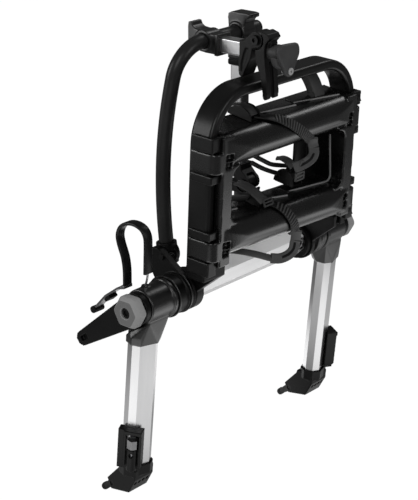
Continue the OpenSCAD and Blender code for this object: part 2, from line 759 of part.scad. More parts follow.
// Tightening knob: a stem and three rounded wings with a pocket for the lock
knob_y = -30 - face_gap;
wing_t = 20;
lock_d = 28;
wing_a = 260;
module knob() {
    wing_r = 13;
    stem_r = 10;
    color([0.28, 0.28, 0.28]) translate([0, knob_y, -claw_rise]) rotate([90, 0, 0]) difference() {
        union() {
            translate([0, 0, -16]) cylinder(h = stem_len + 16, r = 5);
            cylinder(h = stem_len, r = stem_r);
            translate([0, 0, stem_len - 8]) linear_extrude(wing_t) union() {
                for (a = [0, 120, 240]) rotate(wing_a + a) taper(wing_r + 1, wing_r, wing_len);
                circle(wing_r + 9);
            }
            translate([0, 0, stem_len - 8 + wing_t]) cylinder(h = 2, r1 = wing_r + 4, r2 = wing_r);
        }
        rotate(wing_a) translate([lock_d, 0, stem_len - 8 + wing_t - 12]) cylinder(h = 14, r = 7 + run_gap);
    }
}

module lock() {
    color("silver") translate([0, knob_y, -claw_rise]) rotate([90, 0, 0])
        rotate(wing_a) translate([lock_d, 0, stem_len - 8 + wing_t - 12 + fit_gap]) difference() {
            cylinder(h = 13, r = 7);
            translate([-0.8, -4, 11]) cube([1.6, 8, 4]);
        }
}

module tube_section(grow) {
    round_rect(tube_t + 2 * grow, tube_d + 2 * grow, 7 + grow);
}

module tube_ring() {
    wall = 2.5;
    difference() {
        tube_section(0);
        tube_section(-wall);
    }
}

// Platform tube: two side tubes joined by the bent carrying handle
module platform_tube() {
    color([0.09, 0.09, 0.09]) on_platform() for (side = [-1, 1]) on_side(side) {
        translate([tube_x, tube_y, tube_z0]) linear_extrude(bend_z - tube_z0) tube_ring();
        translate([bend_x, tube_y, bend_z]) rotate([90, 0, 0]) rotate_extrude(angle = 90, $fn = 96)
            translate([handle_r - tube_t / 2, 0]) tube_ring();
        translate([0, tube_y, handle_top - tube_t / 2]) rotate([0, 90, 0]) linear_extrude(bend_x) tube_ring();
    }
}

// Flared side walls of one tray, open to the back
module tray_walls() {
    for (s = [0, 1]) mirror([0, s]) polygon([[tray_y - 1, tray_h / 2], [tray_y - 1,
        tray_h / 2 - tray_wall * 0.7],
        [tray_y + tray_depth, tray_h / 2 + tray_flare - tray_wall * 0.7],
        [tray_y + tray_depth, tray_h / 2 + tray_flare]]);
}

// Section of the bulge, inset by the wall for its hollow
module bulge_outline(inset) {
    intersection() {
        translate([tray_y - tray_bulge + tray_r, 0]) circle(tray_r - inset, $fn = 96);
        translate([tray_y - tray_bulge - 1, -tray_h / 2]) square([tray_bulge + 3 + inset, tray_h]);
    }
}

// Plan of the bulge, which runs out into the rails at both ends
ease_r = 300;
module bulge_plan(inset) {
    drop = tray_bulge - rail_t;
    run = sqrt(2 * ease_r * drop - drop * drop);
    flat_x = tray_end - run;
    r = ease_r - inset;
    translate([0, 0, -tray_h]) linear_extrude(2 * tray_h) union() {
        for (s = [-1, 1]) translate([s * flat_x, tray_y - tray_bulge + ease_r]) circle(r, $fn = 180);
        translate([-flat_x, tray_y - tray_bulge + inset]) square([2 * flat_x, ease_r]);
    }
}

// One tray, sloped along the platform, with a wall at each end
tray_end = plat_half - tube_t - 8;
module tray(z, rake) {
    translate([0, 0, z]) rotate([0, rake, 0]) {
        difference() {
            intersection() {
                along_x(-tray_end, tray_end) bulge_outline(0);
                bulge_plan(0);
            }
            intersection() {
                along_x(tray_wall - tray_end, tray_end - tray_wall) bulge_outline(tray_wall);
                bulge_plan(tray_wall);
            }
        }
        along_x(-tray_end, tray_end) tray_walls();
        for (side = [-1, 1]) on_side(side) along_x(tray_end - tray_wall, tray_end)
            polygon([[tray_y - 1, tray_h / 2], [tray_y + tray_depth, tray_h / 2 + tray_flare],
                [tray_y + tray_depth, -tray_h / 2 - tray_flare], [tray_y - 1, -tray_h / 2]]);
    }
}

// Rounded inner corner of the window between the trays
web_r = 20;
module corner_web(x, up) {
    over = 4;
    rotate([90, 0, 0]) linear_extrude(rail_t) translate([x, 0]) scale([-1, up]) difference() {
        translate([-over, -over]) square(web_r + over);
        translate([web_r, web_r]) circle(web_r);
    }
}

// Section of a band of the moulding that wraps round the platform tube's front and outer side
band_skin = 2.4;
module band_outline(x0) {
    x1 = plat_half + face_gap + band_skin;
    y0 = tray_y - rail_t;
    y1 = tray_y + tube_d - 6;
    round_r = 15;
    difference() {
        union() {
            translate([x0, y0]) square([x1 - x0 - round_r, rail_t]);
            translate([x1 - round_r, y0 + round_r]) circle(round_r);
            translate([x1 - 2 * round_r, y0 + round_r]) square([2 * round_r, y1 - y0 - round_r]);
        }
        translate([x0 - 1, tray_y + eps]) square([plat_half + face_gap - x0 + 1, tube_d]);
    }
}

module wheel_tray() {
    rail_x = plat_half - rail_w - rail_set;
    rail_z0 = tray_low_z - tray_h / 2 - 8;
    rail_z1 = tray_up_z + tray_h / 2 - 1;
    rail_in = tray_end - rail_x;
    band_h = 38;
    pocket_w = 18;
    pocket_h = 13;
    color([0.07, 0.07, 0.07]) on_platform() difference() {
        union() {
            tray(tray_up_z, rake_up);
            tray(tray_low_z, rake_low);
            for (side = [-1, 1]) on_side(side) {
                translate([rail_x, tray_y - rail_t, rail_z0]) cube([rail_w, rail_t, rail_z1 - rail_z0]);
                translate([rail_x, tray_y - 1, rail_z0 + tray_h]) cube([rail_in, tray_depth,
                    rail_z1 - rail_z0 - 2 * tray_h]);
                for (z = [band_low_z, band_up_z]) translate([0, 0, z - band_h / 2]) linear_extrude(band_h)
                    band_outline(rail_x);
                translate([0, tray_y, tray_up_z - tray_h / 2 - side * rail_x * tan(rake_up)])
                    corner_web(rail_x, -1);
                translate([0, tray_y, tray_low_z + tray_h / 2 - side * rail_x * tan(rake_low)])
                    corner_web(rail_x, 1);
            }
        }
        for (side = [-1, 1], z = [band_low_z, band_up_z], dz = [-pocket_h - 1, 1]) on_side(side)
            translate([rail_x + 2, tray_y - rail_t - 9, z + dz]) cube([pocket_w, 18, pocket_h]);
    }
}

// Side clips: end caps and short covers that hook over the tube's outer side, and strap lugs
module side_clips() {
    cap_h = 28;
    cover_h = 16;
    lug_h = 16;
    skin = 4.5;
    front = 9;
    color([0.08, 0.08, 0.08]) on_platform() {
        for (side = [-1, 1], c = [[81, cap_h], [band_low_z + 30, cover_h], [band_up_z - 30, cover_h],
            [band_up_z + 35, cap_h]]) on_side(side) translate([0, tray_y - front, c[0] - c[1] / 2]) {
                translate([plat_half + face_gap, 0, 0]) cube([skin, tube_d + front - 8, c[1]]);
                translate([plat_half - rail_set + face_gap, 0, 0]) cube([rail_set + skin, front, c[1]]);
            }
        for (l = [[98, 3.2], [band_low_z + 56, face_gap], [band_up_z - 6, 3.2], [band_up_z + 38, face_gap]])
            translate([plat_half + l[1], -plat_front + 6, l[0] - lug_h / 2]) cube([12, 12, lug_h]);
    }
}

// Hinge brackets: rings on the bushings, with a foot under each side tube
module hinge_brackets() {
    foot_z = 52;
    foot_h = 24;
    foot_y = -plat_front + 4;
    foot_d = 44;
    color([0.08, 0.08, 0.08]) on_platform() for (side = [-1, 1]) let(foot_x1 = max(hinge_x1,
        plat_half + side * plat_x),
        foot_x0 = min(hinge_x0, plat_half + side * plat_x - 2 * tube_t)) difference() {
        union() {
            translate([-plat_x, 0, 0]) on_side(side) along_x(hinge_x0, hinge_x1 - face_gap) {
                circle(hinge_r);
                polygon([[-8, hinge_r - 2], [foot_y + foot_d, foot_z + foot_h - face_gap], [foot_y,
                    foot_z + foot_h - face_gap],
                    [foot_y, foot_z], [-hinge_r + 4, 6]]);
            }
            translate([-plat_x, 0, 0]) on_side(side) translate([foot_x0, foot_y, foot_z])
                cube([foot_x1 - foot_x0, foot_d, foot_h - face_gap]);
            on_side(side) translate([tube_x, tube_y, foot_z + foot_h - face_gap]) linear_extrude(14)
                tube_section(-2.5 - fit_gap);
        }
        translate([-plat_x, 0, 0]) bar_x(bush_r + run_gap, -hinge_x1 - 1, hinge_x1 + 1);
    }
}

module upper_strap() {
    color([0.14, 0.14, 0.14]) on_platform() swept(upper_strap_path, [1, 0, 0], flat_section(strap_w,
        strap_t));
}

module lower_strap() {
    color([0.14, 0.14, 0.14]) on_platform() swept(lower_strap_path, [1, 0, 0], flat_section(strap_w,
        strap_t));
}

// Ratchet buckle: a curved lever on a pin at the strap's end
buckle_pin_r = 4;
buckle_step = (buckle_pin_r + strap_t / 2 + face_gap) * [0, -sin(strap_end_a), cos(strap_end_a)];
buckle_w = 22;
module buckle(tip) {
    lever_r = 32;
    lever_t = 5;
    lever_y = lever_r * cos(20);
    lever_z = -lever_r * sin(20);
    lever_end = 36;
    color([0.3, 0.3, 0.3]) on_platform() translate(tip) union() {
        along_x(-buckle_w / 2, buckle_w / 2) difference() {
            translate([lever_y, lever_z]) circle(lever_r + lever_t / 2);
            translate([lever_y, lever_z]) circle(lever_r - lever_t / 2);
            translate([lever_y * 0.6, -2 * lever_r]) square(4 * lever_r);
            translate([-2 * lever_r, 0]) square(4 * lever_r);
            translate([-2 * lever_r, -lever_end - 4 * lever_r]) square(4 * lever_r);
        }
        bar_x(buckle_pin_r, -buckle_w / 2 - 2, buckle_w / 2 + 2);
    }
}

module upper_buckle() {
    buckle(upper_strap_end + buckle_step);
}

module lower_buckle() {
    buckle(lower_strap_end + buckle_step);
}

// Strap bases: round anchors on the upper walls of the trays
module strap_bases() {
    base_r = 17;
    base_h = 10;
    base_y = -58;
    color([0.1, 0.1, 0.1]) on_platform() for (t = [[tray_up_z, rake_up, -88], [tray_low_z, rake_low, -54]])
        translate([t[2], base_y, t[0] - t[2] * tan(t[1]) + wall_z(base_y) - strap_lift + 2.6])
            cylinder(h = base_h, r = base_r);
}

crossbar();
hinge_bushings();
mast_clamp();
mast();
mast_plug();
clamp_screws();
right_collar();
hub_spindles();
hub(-1);  // left_hub
leg_tube(-1);  // left_leg_tube
foot_shoe(-1);  // left_foot_shoe
foot_clamp(-1);  // left_foot_clamp
foot_screw(-1);  // left_foot_screw
lower_hook(-1);  // left_lower_hook
hook_tip(-1);  // left_hook_tip
hand_nut(-1);  // left_hand_nut
hook_lever(-1);  // left_hook_lever
tailgate_hook(-1);  // left_tailgate_hook
hook_ends(-1);  // left_hook_ends
cable_sleeve(-1);  // left_cable_sleeve
hook_cable(-1);  // left_hook_cable
hub(1);  // right_hub
leg_tube(1);  // right_leg_tube
foot_shoe(1);  // right_foot_shoe
foot_clamp(1);  // right_foot_clamp
foot_screw(1);  // right_foot_screw
lower_hook(1);  // right_lower_hook
hook_tip(1);  // right_hook_tip
hand_nut(1);  // right_hand_nut
hook_lever(1);  // right_hook_lever
tailgate_hook(1);  // right_tailgate_hook
hook_ends(1);  // right_hook_ends
cable_sleeve(1);  // right_cable_sleeve
hook_cable(1);  // right_hook_cable
on_arm(short_x, 0) arm_bracket();  // short_arm_bracket
on_arm(short_x, 0) arm_tube(short_reach);  // short_arm_tube
on_claw(short_x, 0, short_reach) claw_body();  // short_claw_body
on_claw(short_x, 0, short_reach) front_jaw();  // short_front_jaw
on_claw(short_x, 0, short_reach) pivot_bolt();  // short_pivot_bolt
on_claw(short_x, 0, short_reach) knob();  // short_knob
on_claw(short_x, 0, short_reach) lock();  // short_lock
on_arm(long_x, 90) arm_bracket();  // long_arm_bracket
on_arm(long_x, 90) arm_tube(long_reach);  // long_arm_tube
on_claw(long_x, 90, long_reach) claw_body();  // long_claw_body
on_claw(long_x, 90, long_reach) front_jaw();  // long_front_jaw
on_claw(long_x, 90, long_reach) pivot_bolt();  // long_pivot_bolt
on_claw(long_x, 90, long_reach) knob();  // long_knob
on_claw(long_x, 90, long_reach) lock();  // long_lock
platform_tube();
wheel_tray();
side_clips();
hinge_brackets();
upper_strap();
lower_strap();
upper_buckle();
lower_buckle();
strap_bases();
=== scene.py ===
import json
import math

import bmesh
import bpy
from mathutils import Matrix, Vector


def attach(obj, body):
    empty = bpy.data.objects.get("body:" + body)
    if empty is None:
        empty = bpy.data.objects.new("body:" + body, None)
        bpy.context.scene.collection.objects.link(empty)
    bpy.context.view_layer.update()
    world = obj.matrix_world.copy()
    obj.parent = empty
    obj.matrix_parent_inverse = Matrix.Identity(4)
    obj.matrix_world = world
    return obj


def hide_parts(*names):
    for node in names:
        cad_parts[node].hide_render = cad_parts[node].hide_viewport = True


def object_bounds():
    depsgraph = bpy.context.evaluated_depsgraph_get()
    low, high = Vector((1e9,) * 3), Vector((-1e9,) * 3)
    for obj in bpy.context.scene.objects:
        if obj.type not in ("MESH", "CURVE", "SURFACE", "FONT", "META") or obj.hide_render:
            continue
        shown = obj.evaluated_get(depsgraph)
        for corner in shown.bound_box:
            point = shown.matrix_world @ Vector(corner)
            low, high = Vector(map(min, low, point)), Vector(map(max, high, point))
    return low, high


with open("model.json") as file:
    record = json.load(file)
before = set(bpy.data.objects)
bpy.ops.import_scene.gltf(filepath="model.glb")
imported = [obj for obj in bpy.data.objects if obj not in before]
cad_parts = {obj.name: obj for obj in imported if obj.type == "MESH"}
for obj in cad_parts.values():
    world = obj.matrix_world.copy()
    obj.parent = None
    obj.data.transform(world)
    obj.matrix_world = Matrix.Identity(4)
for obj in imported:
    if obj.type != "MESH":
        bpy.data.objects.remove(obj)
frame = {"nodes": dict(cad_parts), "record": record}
cad_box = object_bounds()
nodes = frame["nodes"]

# Camera, floor and light.
# The camera stands where the photograph was taken from, on the left of the rack and above it.
# The floor is plain and pale under the feet, and broad soft lamps hang on the left, above and on the right.
scene = bpy.context.scene
scene.view_settings.view_transform = "Standard"
image_height = 500
focal_pixels = 1524.77
eye = bpy.data.cameras.new("eye")
eye.sensor_fit = "AUTO"
eye.sensor_width = 36.0
eye.lens = focal_pixels * eye.sensor_width / image_height
eye.clip_end = 40.0
camera = bpy.data.objects.new("eye", eye)
scene.collection.objects.link(camera)
camera.location = (-2.1683, -1.7702, 1.0817)
camera.rotation_euler = Vector((0.7105, 0.6090, -0.3527)).to_track_quat("-Z", "Y").to_euler()
scene.camera = camera


class Wire:
    """One socket in a node tree. Sums of wires and numbers add Math nodes."""

    def __init__(self, tree, socket=None):
        self.tree = tree
        self.socket = socket

    def make(self, kind, settings=None, sockets=None, out=0):
        node = self.tree.nodes.new(kind)
        for key, value in (settings or {}).items():
            if key == "stops":
                ramp = node.color_ramp.elements
                while len(ramp) < len(value):
                    ramp.new(0.5)
                for stop, (place, tone) in zip(ramp, value):
                    stop.position = place
                    stop.color = tone
            else:
                setattr(node, key, value)
        for key, value in (sockets or {}).items():
            if isinstance(value, Wire):
                self.tree.links.new(value.socket, node.inputs[key])
            else:
                node.inputs[key].default_value = value
        return Wire(self.tree, node.outputs[out])

    def sum(self, operation, first, second):
        return self.make("ShaderNodeMath", {"operation": operation}, {0: first, 1: second})

    def __add__(self, other):
        return self.sum("ADD", self, other)

    def __radd__(self, other):
        return self.sum("ADD", other, self)

    def __sub__(self, other):
        return self.sum("SUBTRACT", self, other)

    def __rsub__(self, other):
        return self.sum("SUBTRACT", other, self)

    def __mul__(self, other):
        return self.sum("MULTIPLY", self, other)

    def __rmul__(self, other):
        return self.sum("MULTIPLY", other, self)

    def __pow__(self, other):
        return self.sum("POWER", self, other)

    def above(self, low, high):
        """0 below low, 1 above high, smooth between."""
        return self.make("ShaderNodeMapRange", {"interpolation_type": "SMOOTHSTEP"},
                         {"Value": self, "From Min": low, "From Max": high})

    def tint(self, dark, light):
        """A colour from dark to light as this wire goes from 0 to 1."""
        return self.make("ShaderNodeMix", {"data_type": "RGBA"},
                         {0: self, 6: (*dark, 1.0), 7: (*light, 1.0)}, out=2)

    def into(self, shader, socket):
        self.tree.links.new(self.socket, shader.inputs[socket])


sky = bpy.data.worlds.new("sky")
scene.world = sky
sky.use_nodes = True
sky_wire = Wire(sky.node_tree)
sky_light = 0.6
room_light = 0.07
seen = sky_wire.make("ShaderNodeLightPath", out="Is Camera Ray")
mirrored = sky_wire.make("ShaderNodeLightPath", out="Is Glossy Ray")
through = sky_wire.make("ShaderNodeLightPath", out="Is Transmission Ray")
white = seen.sum("MAXIMUM", seen, through)
strength = white + (1.0 - white) * (mirrored * room_light + (1.0 - mirrored) * sky_light)
sky_shader = sky.node_tree.nodes["Background"]
sky_shader.inputs["Color"].default_value = (1.0, 1.0, 1.0, 1.0)
strength.into(sky_shader, "Strength")

floor_bm = bmesh.new()
bmesh.ops.create_grid(floor_bm, x_segments=1, y_segments=1, size=9.0)
floor_mesh = bpy.data.meshes.new("floor")
floor_bm.to_mesh(floor_mesh)
floor_bm.free()
floor = bpy.data.objects.new("floor", floor_mesh)
floor.location = (0.0, 0.0, cad_box[0].z - 0.0005)
scene.collection.objects.link(floor)
pale = bpy.data.materials.new("pale_floor")
pale.use_nodes = True
pale_wire = Wire(pale.node_tree)
pale_shader = pale.node_tree.nodes["Principled BSDF"]
pale_shader.inputs["Roughness"].default_value = 0.9
mottle = pale_wire.make("ShaderNodeTexNoise", None, {"Scale": 3.0})
mottle.tint((0.80, 0.80, 0.80), (0.84, 0.84, 0.84)).into(pale_shader, "Base Color")
ground = pale_wire.make("ShaderNodeTexCoord", out="Object")
ground_x = pale_wire.make("ShaderNodeSeparateXYZ", None, {0: ground})
ground_y = pale_wire.make("ShaderNodeSeparateXYZ", None, {0: ground}, out=1)
card = ground_x * 0.0 + 0.12
for card_x, card_y, card_r, card_light in ((-0.85, -0.15, 0.5, 1.1), (-0.15, -0.45, 0.45, 0.68), (0.25, -0.38, 0.4, 0.95),
                                           (0.85, -0.75, 0.5, 1.1), (0.42, 0.32, 0.42, 1.2), (0.85, -0.02, 0.38, 0.36),
                                           (-0.33, 0.3, 0.6, 0.36)):
    away = ((ground_x - card_x) ** 2.0 + (ground_y - card_y) ** 2.0) ** 0.5
    card = card + card_light * (1.0 - away.above(card_r * 0.45, card_r))
looked = pale_wire.make("ShaderNodeLightPath", out="Is Camera Ray")
glanced = pale_wire.make("ShaderNodeLightPath", out="Is Glossy Ray")
tone = 1.05 * looked + (1.0 - looked) * card
shade = pale_wire.make("ShaderNodeCombineXYZ", None, {0: tone, 1: tone, 2: tone})
glow = pale_wire.make("ShaderNodeEmission", None, {"Color": shade})
plain = Wire(pale.node_tree, pale_shader.outputs[0])
shadow_share = 0.06
mixed = pale_wire.make("ShaderNodeMixShader", None,
                       {0: looked * (1.0 - shadow_share) + glanced * (1.0 - looked), 1: plain, 2: glow})
pale.node_tree.links.new(mixed.socket, pale.node_tree.nodes["Material Output"].inputs["Surface"])
floor_mesh.materials.append(pale)


def lamp(name, place, aim, width, height, watts):
    """A soft box that shines from place towards aim."""
    light = bpy.data.lights.new(name, "AREA")
    light.shape = "RECTANGLE"
    light.size = width
    light.size_y = height
    light.energy = watts
    holder = bpy.data.objects.new(name, light)
    holder.location = place
    holder.rotation_euler = (Vector(aim) - Vector(place)).to_track_quat("-Z", "Y").to_euler()
    scene.collection.objects.link(holder)


lamp("left_box", (-2.4, -1.2, 1.4), (0.0, 0.0, 0.0), 0.9, 1.4, 12.0)
lamp("rim_box", (-2.0, 1.7, 0.7), (0.0, 0.0, 0.1), 0.7, 1.4, 12.0)
lamp("top_box", (1.5, -0.1, 1.9), (0.0, 0.0, 0.1), 0.5, 1.3, 5.0)
lamp("front_box", (0.2, -2.8, 1.2), (0.0, 0.0, 0.0), 1.2, 1.0, 8.0)

# Hook cables and their sleeves.
# A stiff steel cable leaves each hub and runs in a flat black sleeve, which stands in a loop
# and ends in the tailgate hook. Both ends are pressed in.


def surface(name, roughness, specular):
    """A new material, the wire that starts its nodes, and its shader."""
    made = bpy.data.materials.new(name)
    made.use_nodes = True
    shader = made.node_tree.nodes["Principled BSDF"]
    shader.inputs["Roughness"].default_value = roughness
    shader.inputs["Specular IOR Level"].default_value = specular
    return made, Wire(made.node_tree), shader


def spots(wire, scale, detail=2.0, stretch=(1.0, 1.0, 1.0)):
    """Noise in the piece's own coordinates, stretched along an axis where asked."""
    place = wire.make("ShaderNodeTexCoord", out="Object")
    turned = wire.make("ShaderNodeMapping", None, {"Vector": place, "Scale": stretch})
    return wire.make("ShaderNodeTexNoise", None, {"Vector": turned, "Scale": scale, "Detail": detail})


def rounded(wire, radius):
    """The normal of edges that are broken by a small radius."""
    return wire.make("ShaderNodeBevel", {"samples": 6}, {"Radius": radius})


def grained(wire, shader, height, depth, edge):
    """Feeds a fine relief, over softly broken edges, to the shader's normal."""
    relief = wire.make("ShaderNodeBump", None,
                       {"Height": height, "Distance": depth, "Strength": 1.0, "Normal": rounded(wire, edge)})
    relief.into(shader, "Normal")


def moulded(name, dark, light, roughness, specular=0.45, grain=900.0, depth=0.00006, edge=0.0012, coat=0.0):
    """Moulded plastic or a painted casting: fine grain, faint cloudiness and slightly uneven gloss."""
    made, wire, shader = surface(name, roughness, specular)
    shader.inputs["Coat Weight"].default_value = coat
    shader.inputs["Coat Roughness"].default_value = roughness
    cloud = spots(wire, 14.0, 3.0)
    fine = spots(wire, grain, 2.0)
    (cloud * 0.7 + fine * 0.3).above(0.3, 0.7).tint(dark, light).into(shader, "Base Color")
    (roughness - 0.05 + cloud * 0.08 + fine * 0.05).into(shader, "Roughness")
    grained(wire, shader, fine, depth, edge)
    return made


def brushed(name, dark, light, roughness, stretch, metallic=1.0, edge=0.0008):
    """Drawn or anodised metal with fine lines along its length."""
    made, wire, shader = surface(name, roughness, 0.5)
    shader.inputs["Metallic"].default_value = metallic
    lines = spots(wire, 60.0, 3.0, stretch)
    cloud = spots(wire, 9.0, 2.0)
    (lines * 0.6 + cloud * 0.4).above(0.3, 0.7).tint(dark, light).into(shader, "Base Color")
    (roughness - 0.06 + lines * 0.08 + cloud * 0.06).into(shader, "Roughness")
    grained(wire, shader, lines, 0.00002, edge)
    return made


def piece(bm, name, body, finish, smooth=True, angle=35.0):
    """Turns a bmesh into a piece of the rack that rides on a body and wears a finish."""
    bmesh.ops.remove_doubles(bm, verts=bm.verts, dist=0.000002)
    bmesh.ops.recalc_face_normals(bm, faces=bm.faces)
    mesh = bpy.data.meshes.new(name)
    bm.to_mesh(mesh)
    bm.free()
    if smooth:
        mesh.shade_smooth()
        mesh.set_sharp_from_angle(angle=math.radians(angle))
    mesh.materials.append(finish)
    made = bpy.data.objects.new(name, mesh)
    scene.collection.objects.link(made)
    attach(made, body)
    return made


def eased(points, steps):
    """A smooth route through the points, with steps more points in each span."""
    ends = [points[0] * 2 - points[1]] + points + [points[-1] * 2 - points[-2]]
    route = []
    for a, b, c, d in zip(ends, ends[1:], ends[2:], ends[3:]):
        for step in range(steps):
            t = step / steps
            route.append(0.5 * (2 * b + (c - a) * t + (2 * a - 5 * b + 4 * c - d) * t * t
                                + (3 * b - a - 3 * c + d) * t ** 3))
    return route + [points[-1]]


def station(route, index, across):
    """Frame on a route: X across, Y out of its flat side, Z along it."""
    ahead = (route[min(index + 1, len(route) - 1)] - route[max(index - 1, 0)]).normalized()
    wide = (across - across.dot(ahead) * ahead).normalized()
    turned = Matrix((wide, ahead.cross(wide), ahead)).transposed().to_4x4()
    turned.translation = route[index]
    return turned


def swept(bm, route, ring, across):
    """Extrudes a closed ring of section points along a route and caps both ends."""
    first = station(route, 0, across)
    start = [bm.verts.new(first @ Vector((x, y, 0.0))) for x, y in ring]
    edges = [bm.edges.new(pair) for pair in zip(start, start[1:] + start[:1])]
    made = list(edges)
    before = first
    for index in range(1, len(route)):
        grown = bmesh.ops.extrude_edge_only(bm, edges=edges)["geom"]
        here = station(route, index, across)
        fresh = [g for g in grown if isinstance(g, bmesh.types.BMVert)]
        bmesh.ops.transform(bm, matrix=here @ before.inverted(), verts=fresh)
        whole = set(fresh)
        edges = [g for g in grown if isinstance(g, bmesh.types.BMEdge) and set(g.verts) <= whole]
        before = here
    bmesh.ops.contextual_create(bm, geom=made)
    bmesh.ops.contextual_create(bm, geom=edges)


def oval(width, thick, count):
    """Section points of a flat band with round sides."""
    flat = (width - thick) / 2
    ring = []
    for step in range(count):
        a = 2 * math.pi * (step + 0.5) / count
        ring.append((math.copysign(flat, math.cos(a)) + thick / 2 * math.cos(a), thick / 2 * math.sin(a)))
    return ring


sleeve_black = moulded("sleeve_black", (0.004, 0.004, 0.0042), (0.008, 0.008, 0.0082), 0.38, grain=500.0)
cable_steel = brushed("cable_steel", (0.45, 0.45, 0.46), (0.68, 0.68, 0.68), 0.32, (1.0, 1.0, 1.0))
sleeve_points = [(52, 26), (52, 56), (56, 80), (65, 103), (68, 120), (62, 136), (49, 146), (34, 150), (19, 149),
                 (6, 143), (-1, 131), (-2, 115), (-1, 86), (0, 60)]
cable_points = [(6, 32), (5, 38), (3, 44), (1, 52), (0, 60), (-0.4, 68)]
cord_x = 0.275
sleeve_width, sleeve_thick, cable_thick = 0.021, 0.007, 0.004


def route_length(route):
    return sum((b - a).length for a, b in zip(route, route[1:]))


for side, sign in (("left", -1.0), ("right", 1.0)):
    across = Vector((1.0, 0.0, 0.0))
    cable_route = eased([Vector((sign * cord_x, y / 1000, z / 1000)) for y, z in cable_points], 5)
    cable_bm = bmesh.new()
    swept(cable_bm, cable_route, oval(cable_thick, cable_thick, 10), across)
    cable = piece(cable_bm, side + "_steel_cable", side + "_leg", cable_steel)
    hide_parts(side + "_hook_cable")
    sleeve_route = eased([Vector((sign * cord_x, y / 1000, z / 1000)) for y, z in reversed(sleeve_points)], 4)
    sleeve_bm = bmesh.new()
    swept(sleeve_bm, sleeve_route, oval(sleeve_width, sleeve_thick, 16), across)
    sleeve = piece(sleeve_bm, side + "_sleeve", side + "_leg", sleeve_black)
    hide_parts(side + "_cable_sleeve")
    route_length(cable_route)
    route_length(sleeve_route)

# Crossbar, leg tubes and arm tubes.
# Drawn aluminium profiles with an anodised satin skin, cut to length and pushed into the castings.
bar_skin = brushed("bar_skin", (0.80, 0.80, 0.805), (0.88, 0.88, 0.885), 0.30, (0.02, 1.0, 1.0), metallic=0.4)
bar_wire = Wire(bar_skin.node_tree)
bar_shader = bar_skin.node_tree.nodes["Principled BSDF"]
# The crossbar's colour and metal follow which way each face points: faces turned downward are painted darker as
# painted shade, and upright faces are made more metallic as a painted sheen.
facing = bar_wire.make("ShaderNodeTexCoord", out="Normal")
tilt = bar_wire.make("ShaderNodeSeparateXYZ", None, {0: facing}, out=2)
painted_upright_sheen = 1.0 - (tilt * tilt).above(0.1, 0.3)
under = 1.0 - tilt.above(-0.5, -0.3)
drawn = spots(bar_wire, 60.0, 3.0, (0.02, 1.0, 1.0))
(under * 0.85 + drawn * 0.15).tint((0.94, 0.94, 0.945), (0.44, 0.44, 0.445)).into(bar_shader, "Base Color")
(0.04 + painted_upright_sheen * 0.82).into(bar_shader, "Metallic")
leg_skin = brushed("leg_skin", (0.78, 0.78, 0.785), (0.86, 0.86, 0.865), 0.30, (1.0, 1.0, 0.02))
arm_skin = brushed("arm_skin", (0.78, 0.78, 0.785), (0.86, 0.86, 0.865), 0.30, (1.0, 0.02, 1.0))


def dressed(finish, *names):
    """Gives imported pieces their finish."""
    for name in names:
        nodes[name].data.materials.clear()
        nodes[name].data.materials.append(finish)


dressed(bar_skin, "crossbar")
dressed(leg_skin, "left_leg_tube", "right_leg_tube", "long_arm_tube")
dressed(arm_skin, "short_arm_tube")

# Mast and platform tubes.
# Bent steel tubes under a satin black powder coat.
tube_coat = moulded("tube_coat", (0.004, 0.004, 0.004), (0.007, 0.007, 0.007), 0.30, specular=0.5,
                    grain=1400.0, depth=0.00003)
mast_coat = moulded("mast_coat", (0.011, 0.011, 0.011), (0.016, 0.016, 0.016), 0.34, specular=0.5,
                    grain=1400.0, depth=0.00003)
dressed(tube_coat, "platform_tube")
dressed(mast_coat, "mast")

# Hubs, mast clamp, collars and brackets.
# Painted castings with soft edges. They hold the tubes, and the legs and the platform turn in them.
cast_coat = moulded("cast_coat", (0.0014, 0.0014, 0.0014), (0.003, 0.003, 0.003), 0.33, specular=1.0, grain=700.0, edge=0.001, coat=0.4)
clamp_coat = moulded("clamp_coat", (0.0014, 0.0014, 0.0014), (0.003, 0.003, 0.003), 0.4, specular=0.3, grain=700.0, edge=0.001)
body_of = {name: body for body, names in frame["record"]["behaviour"]["bodies"].items() for name in names}


def softened(node, name, finish, grid=0.0013, rounds=6, share=1.0, web=None):
    """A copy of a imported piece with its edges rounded, as a casting or moulding has them, in its place."""
    bm = bmesh.new()
    bm.from_mesh(nodes[node].data)
    bmesh.ops.remove_doubles(bm, verts=bm.verts, dist=0.000002)
    if web is not None:
        for edge_x in web:
            bmesh.ops.bisect_plane(bm, geom=list(bm.verts) + list(bm.edges) + list(bm.faces),
                                   plane_co=(edge_x, 0.0, 0.0), plane_no=(1.0, 0.0, 0.0))
        middles = [(f, f.calc_center_median().x) for f in bm.faces]
        gone = [f for f, x in middles if 0.0 < x < web[0] or web[1] < x < web[2]]
        bmesh.ops.delete(bm, geom=gone, context="FACES")
        for edge_x in web:
            rim = [e for e in bm.edges if e.is_boundary and all(abs(v.co.x - edge_x) < 0.00001 for v in e.verts)]
            bmesh.ops.triangle_fill(bm, edges=rim, use_beauty=True)
        bmesh.ops.recalc_face_normals(bm, faces=bm.faces)
    rough = bpy.data.meshes.new(name + "_rough")
    bm.to_mesh(rough)
    bm.free()
    made = bpy.data.objects.new(name, rough)
    scene.collection.objects.link(made)
    skin = made.modifiers.new("skin", "REMESH")
    skin.mode = "VOXEL"
    skin.voxel_size = grid
    ease = made.modifiers.new("ease", "SMOOTH")
    ease.factor = 0.5
    ease.iterations = rounds
    if share < 1.0:
        fewer = made.modifiers.new("fewer", "DECIMATE")
        fewer.ratio = share
    bpy.context.view_layer.update()
    ready = made.evaluated_get(bpy.context.evaluated_depsgraph_get())
    mesh = bpy.data.meshes.new_from_object(ready)
    made.modifiers.clear()
    made.data = mesh
    mesh.name = name
    mesh.shade_smooth()
    mesh.materials.clear()
    mesh.materials.append(finish)
    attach(made, body_of[node])
    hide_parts(node)
    return made


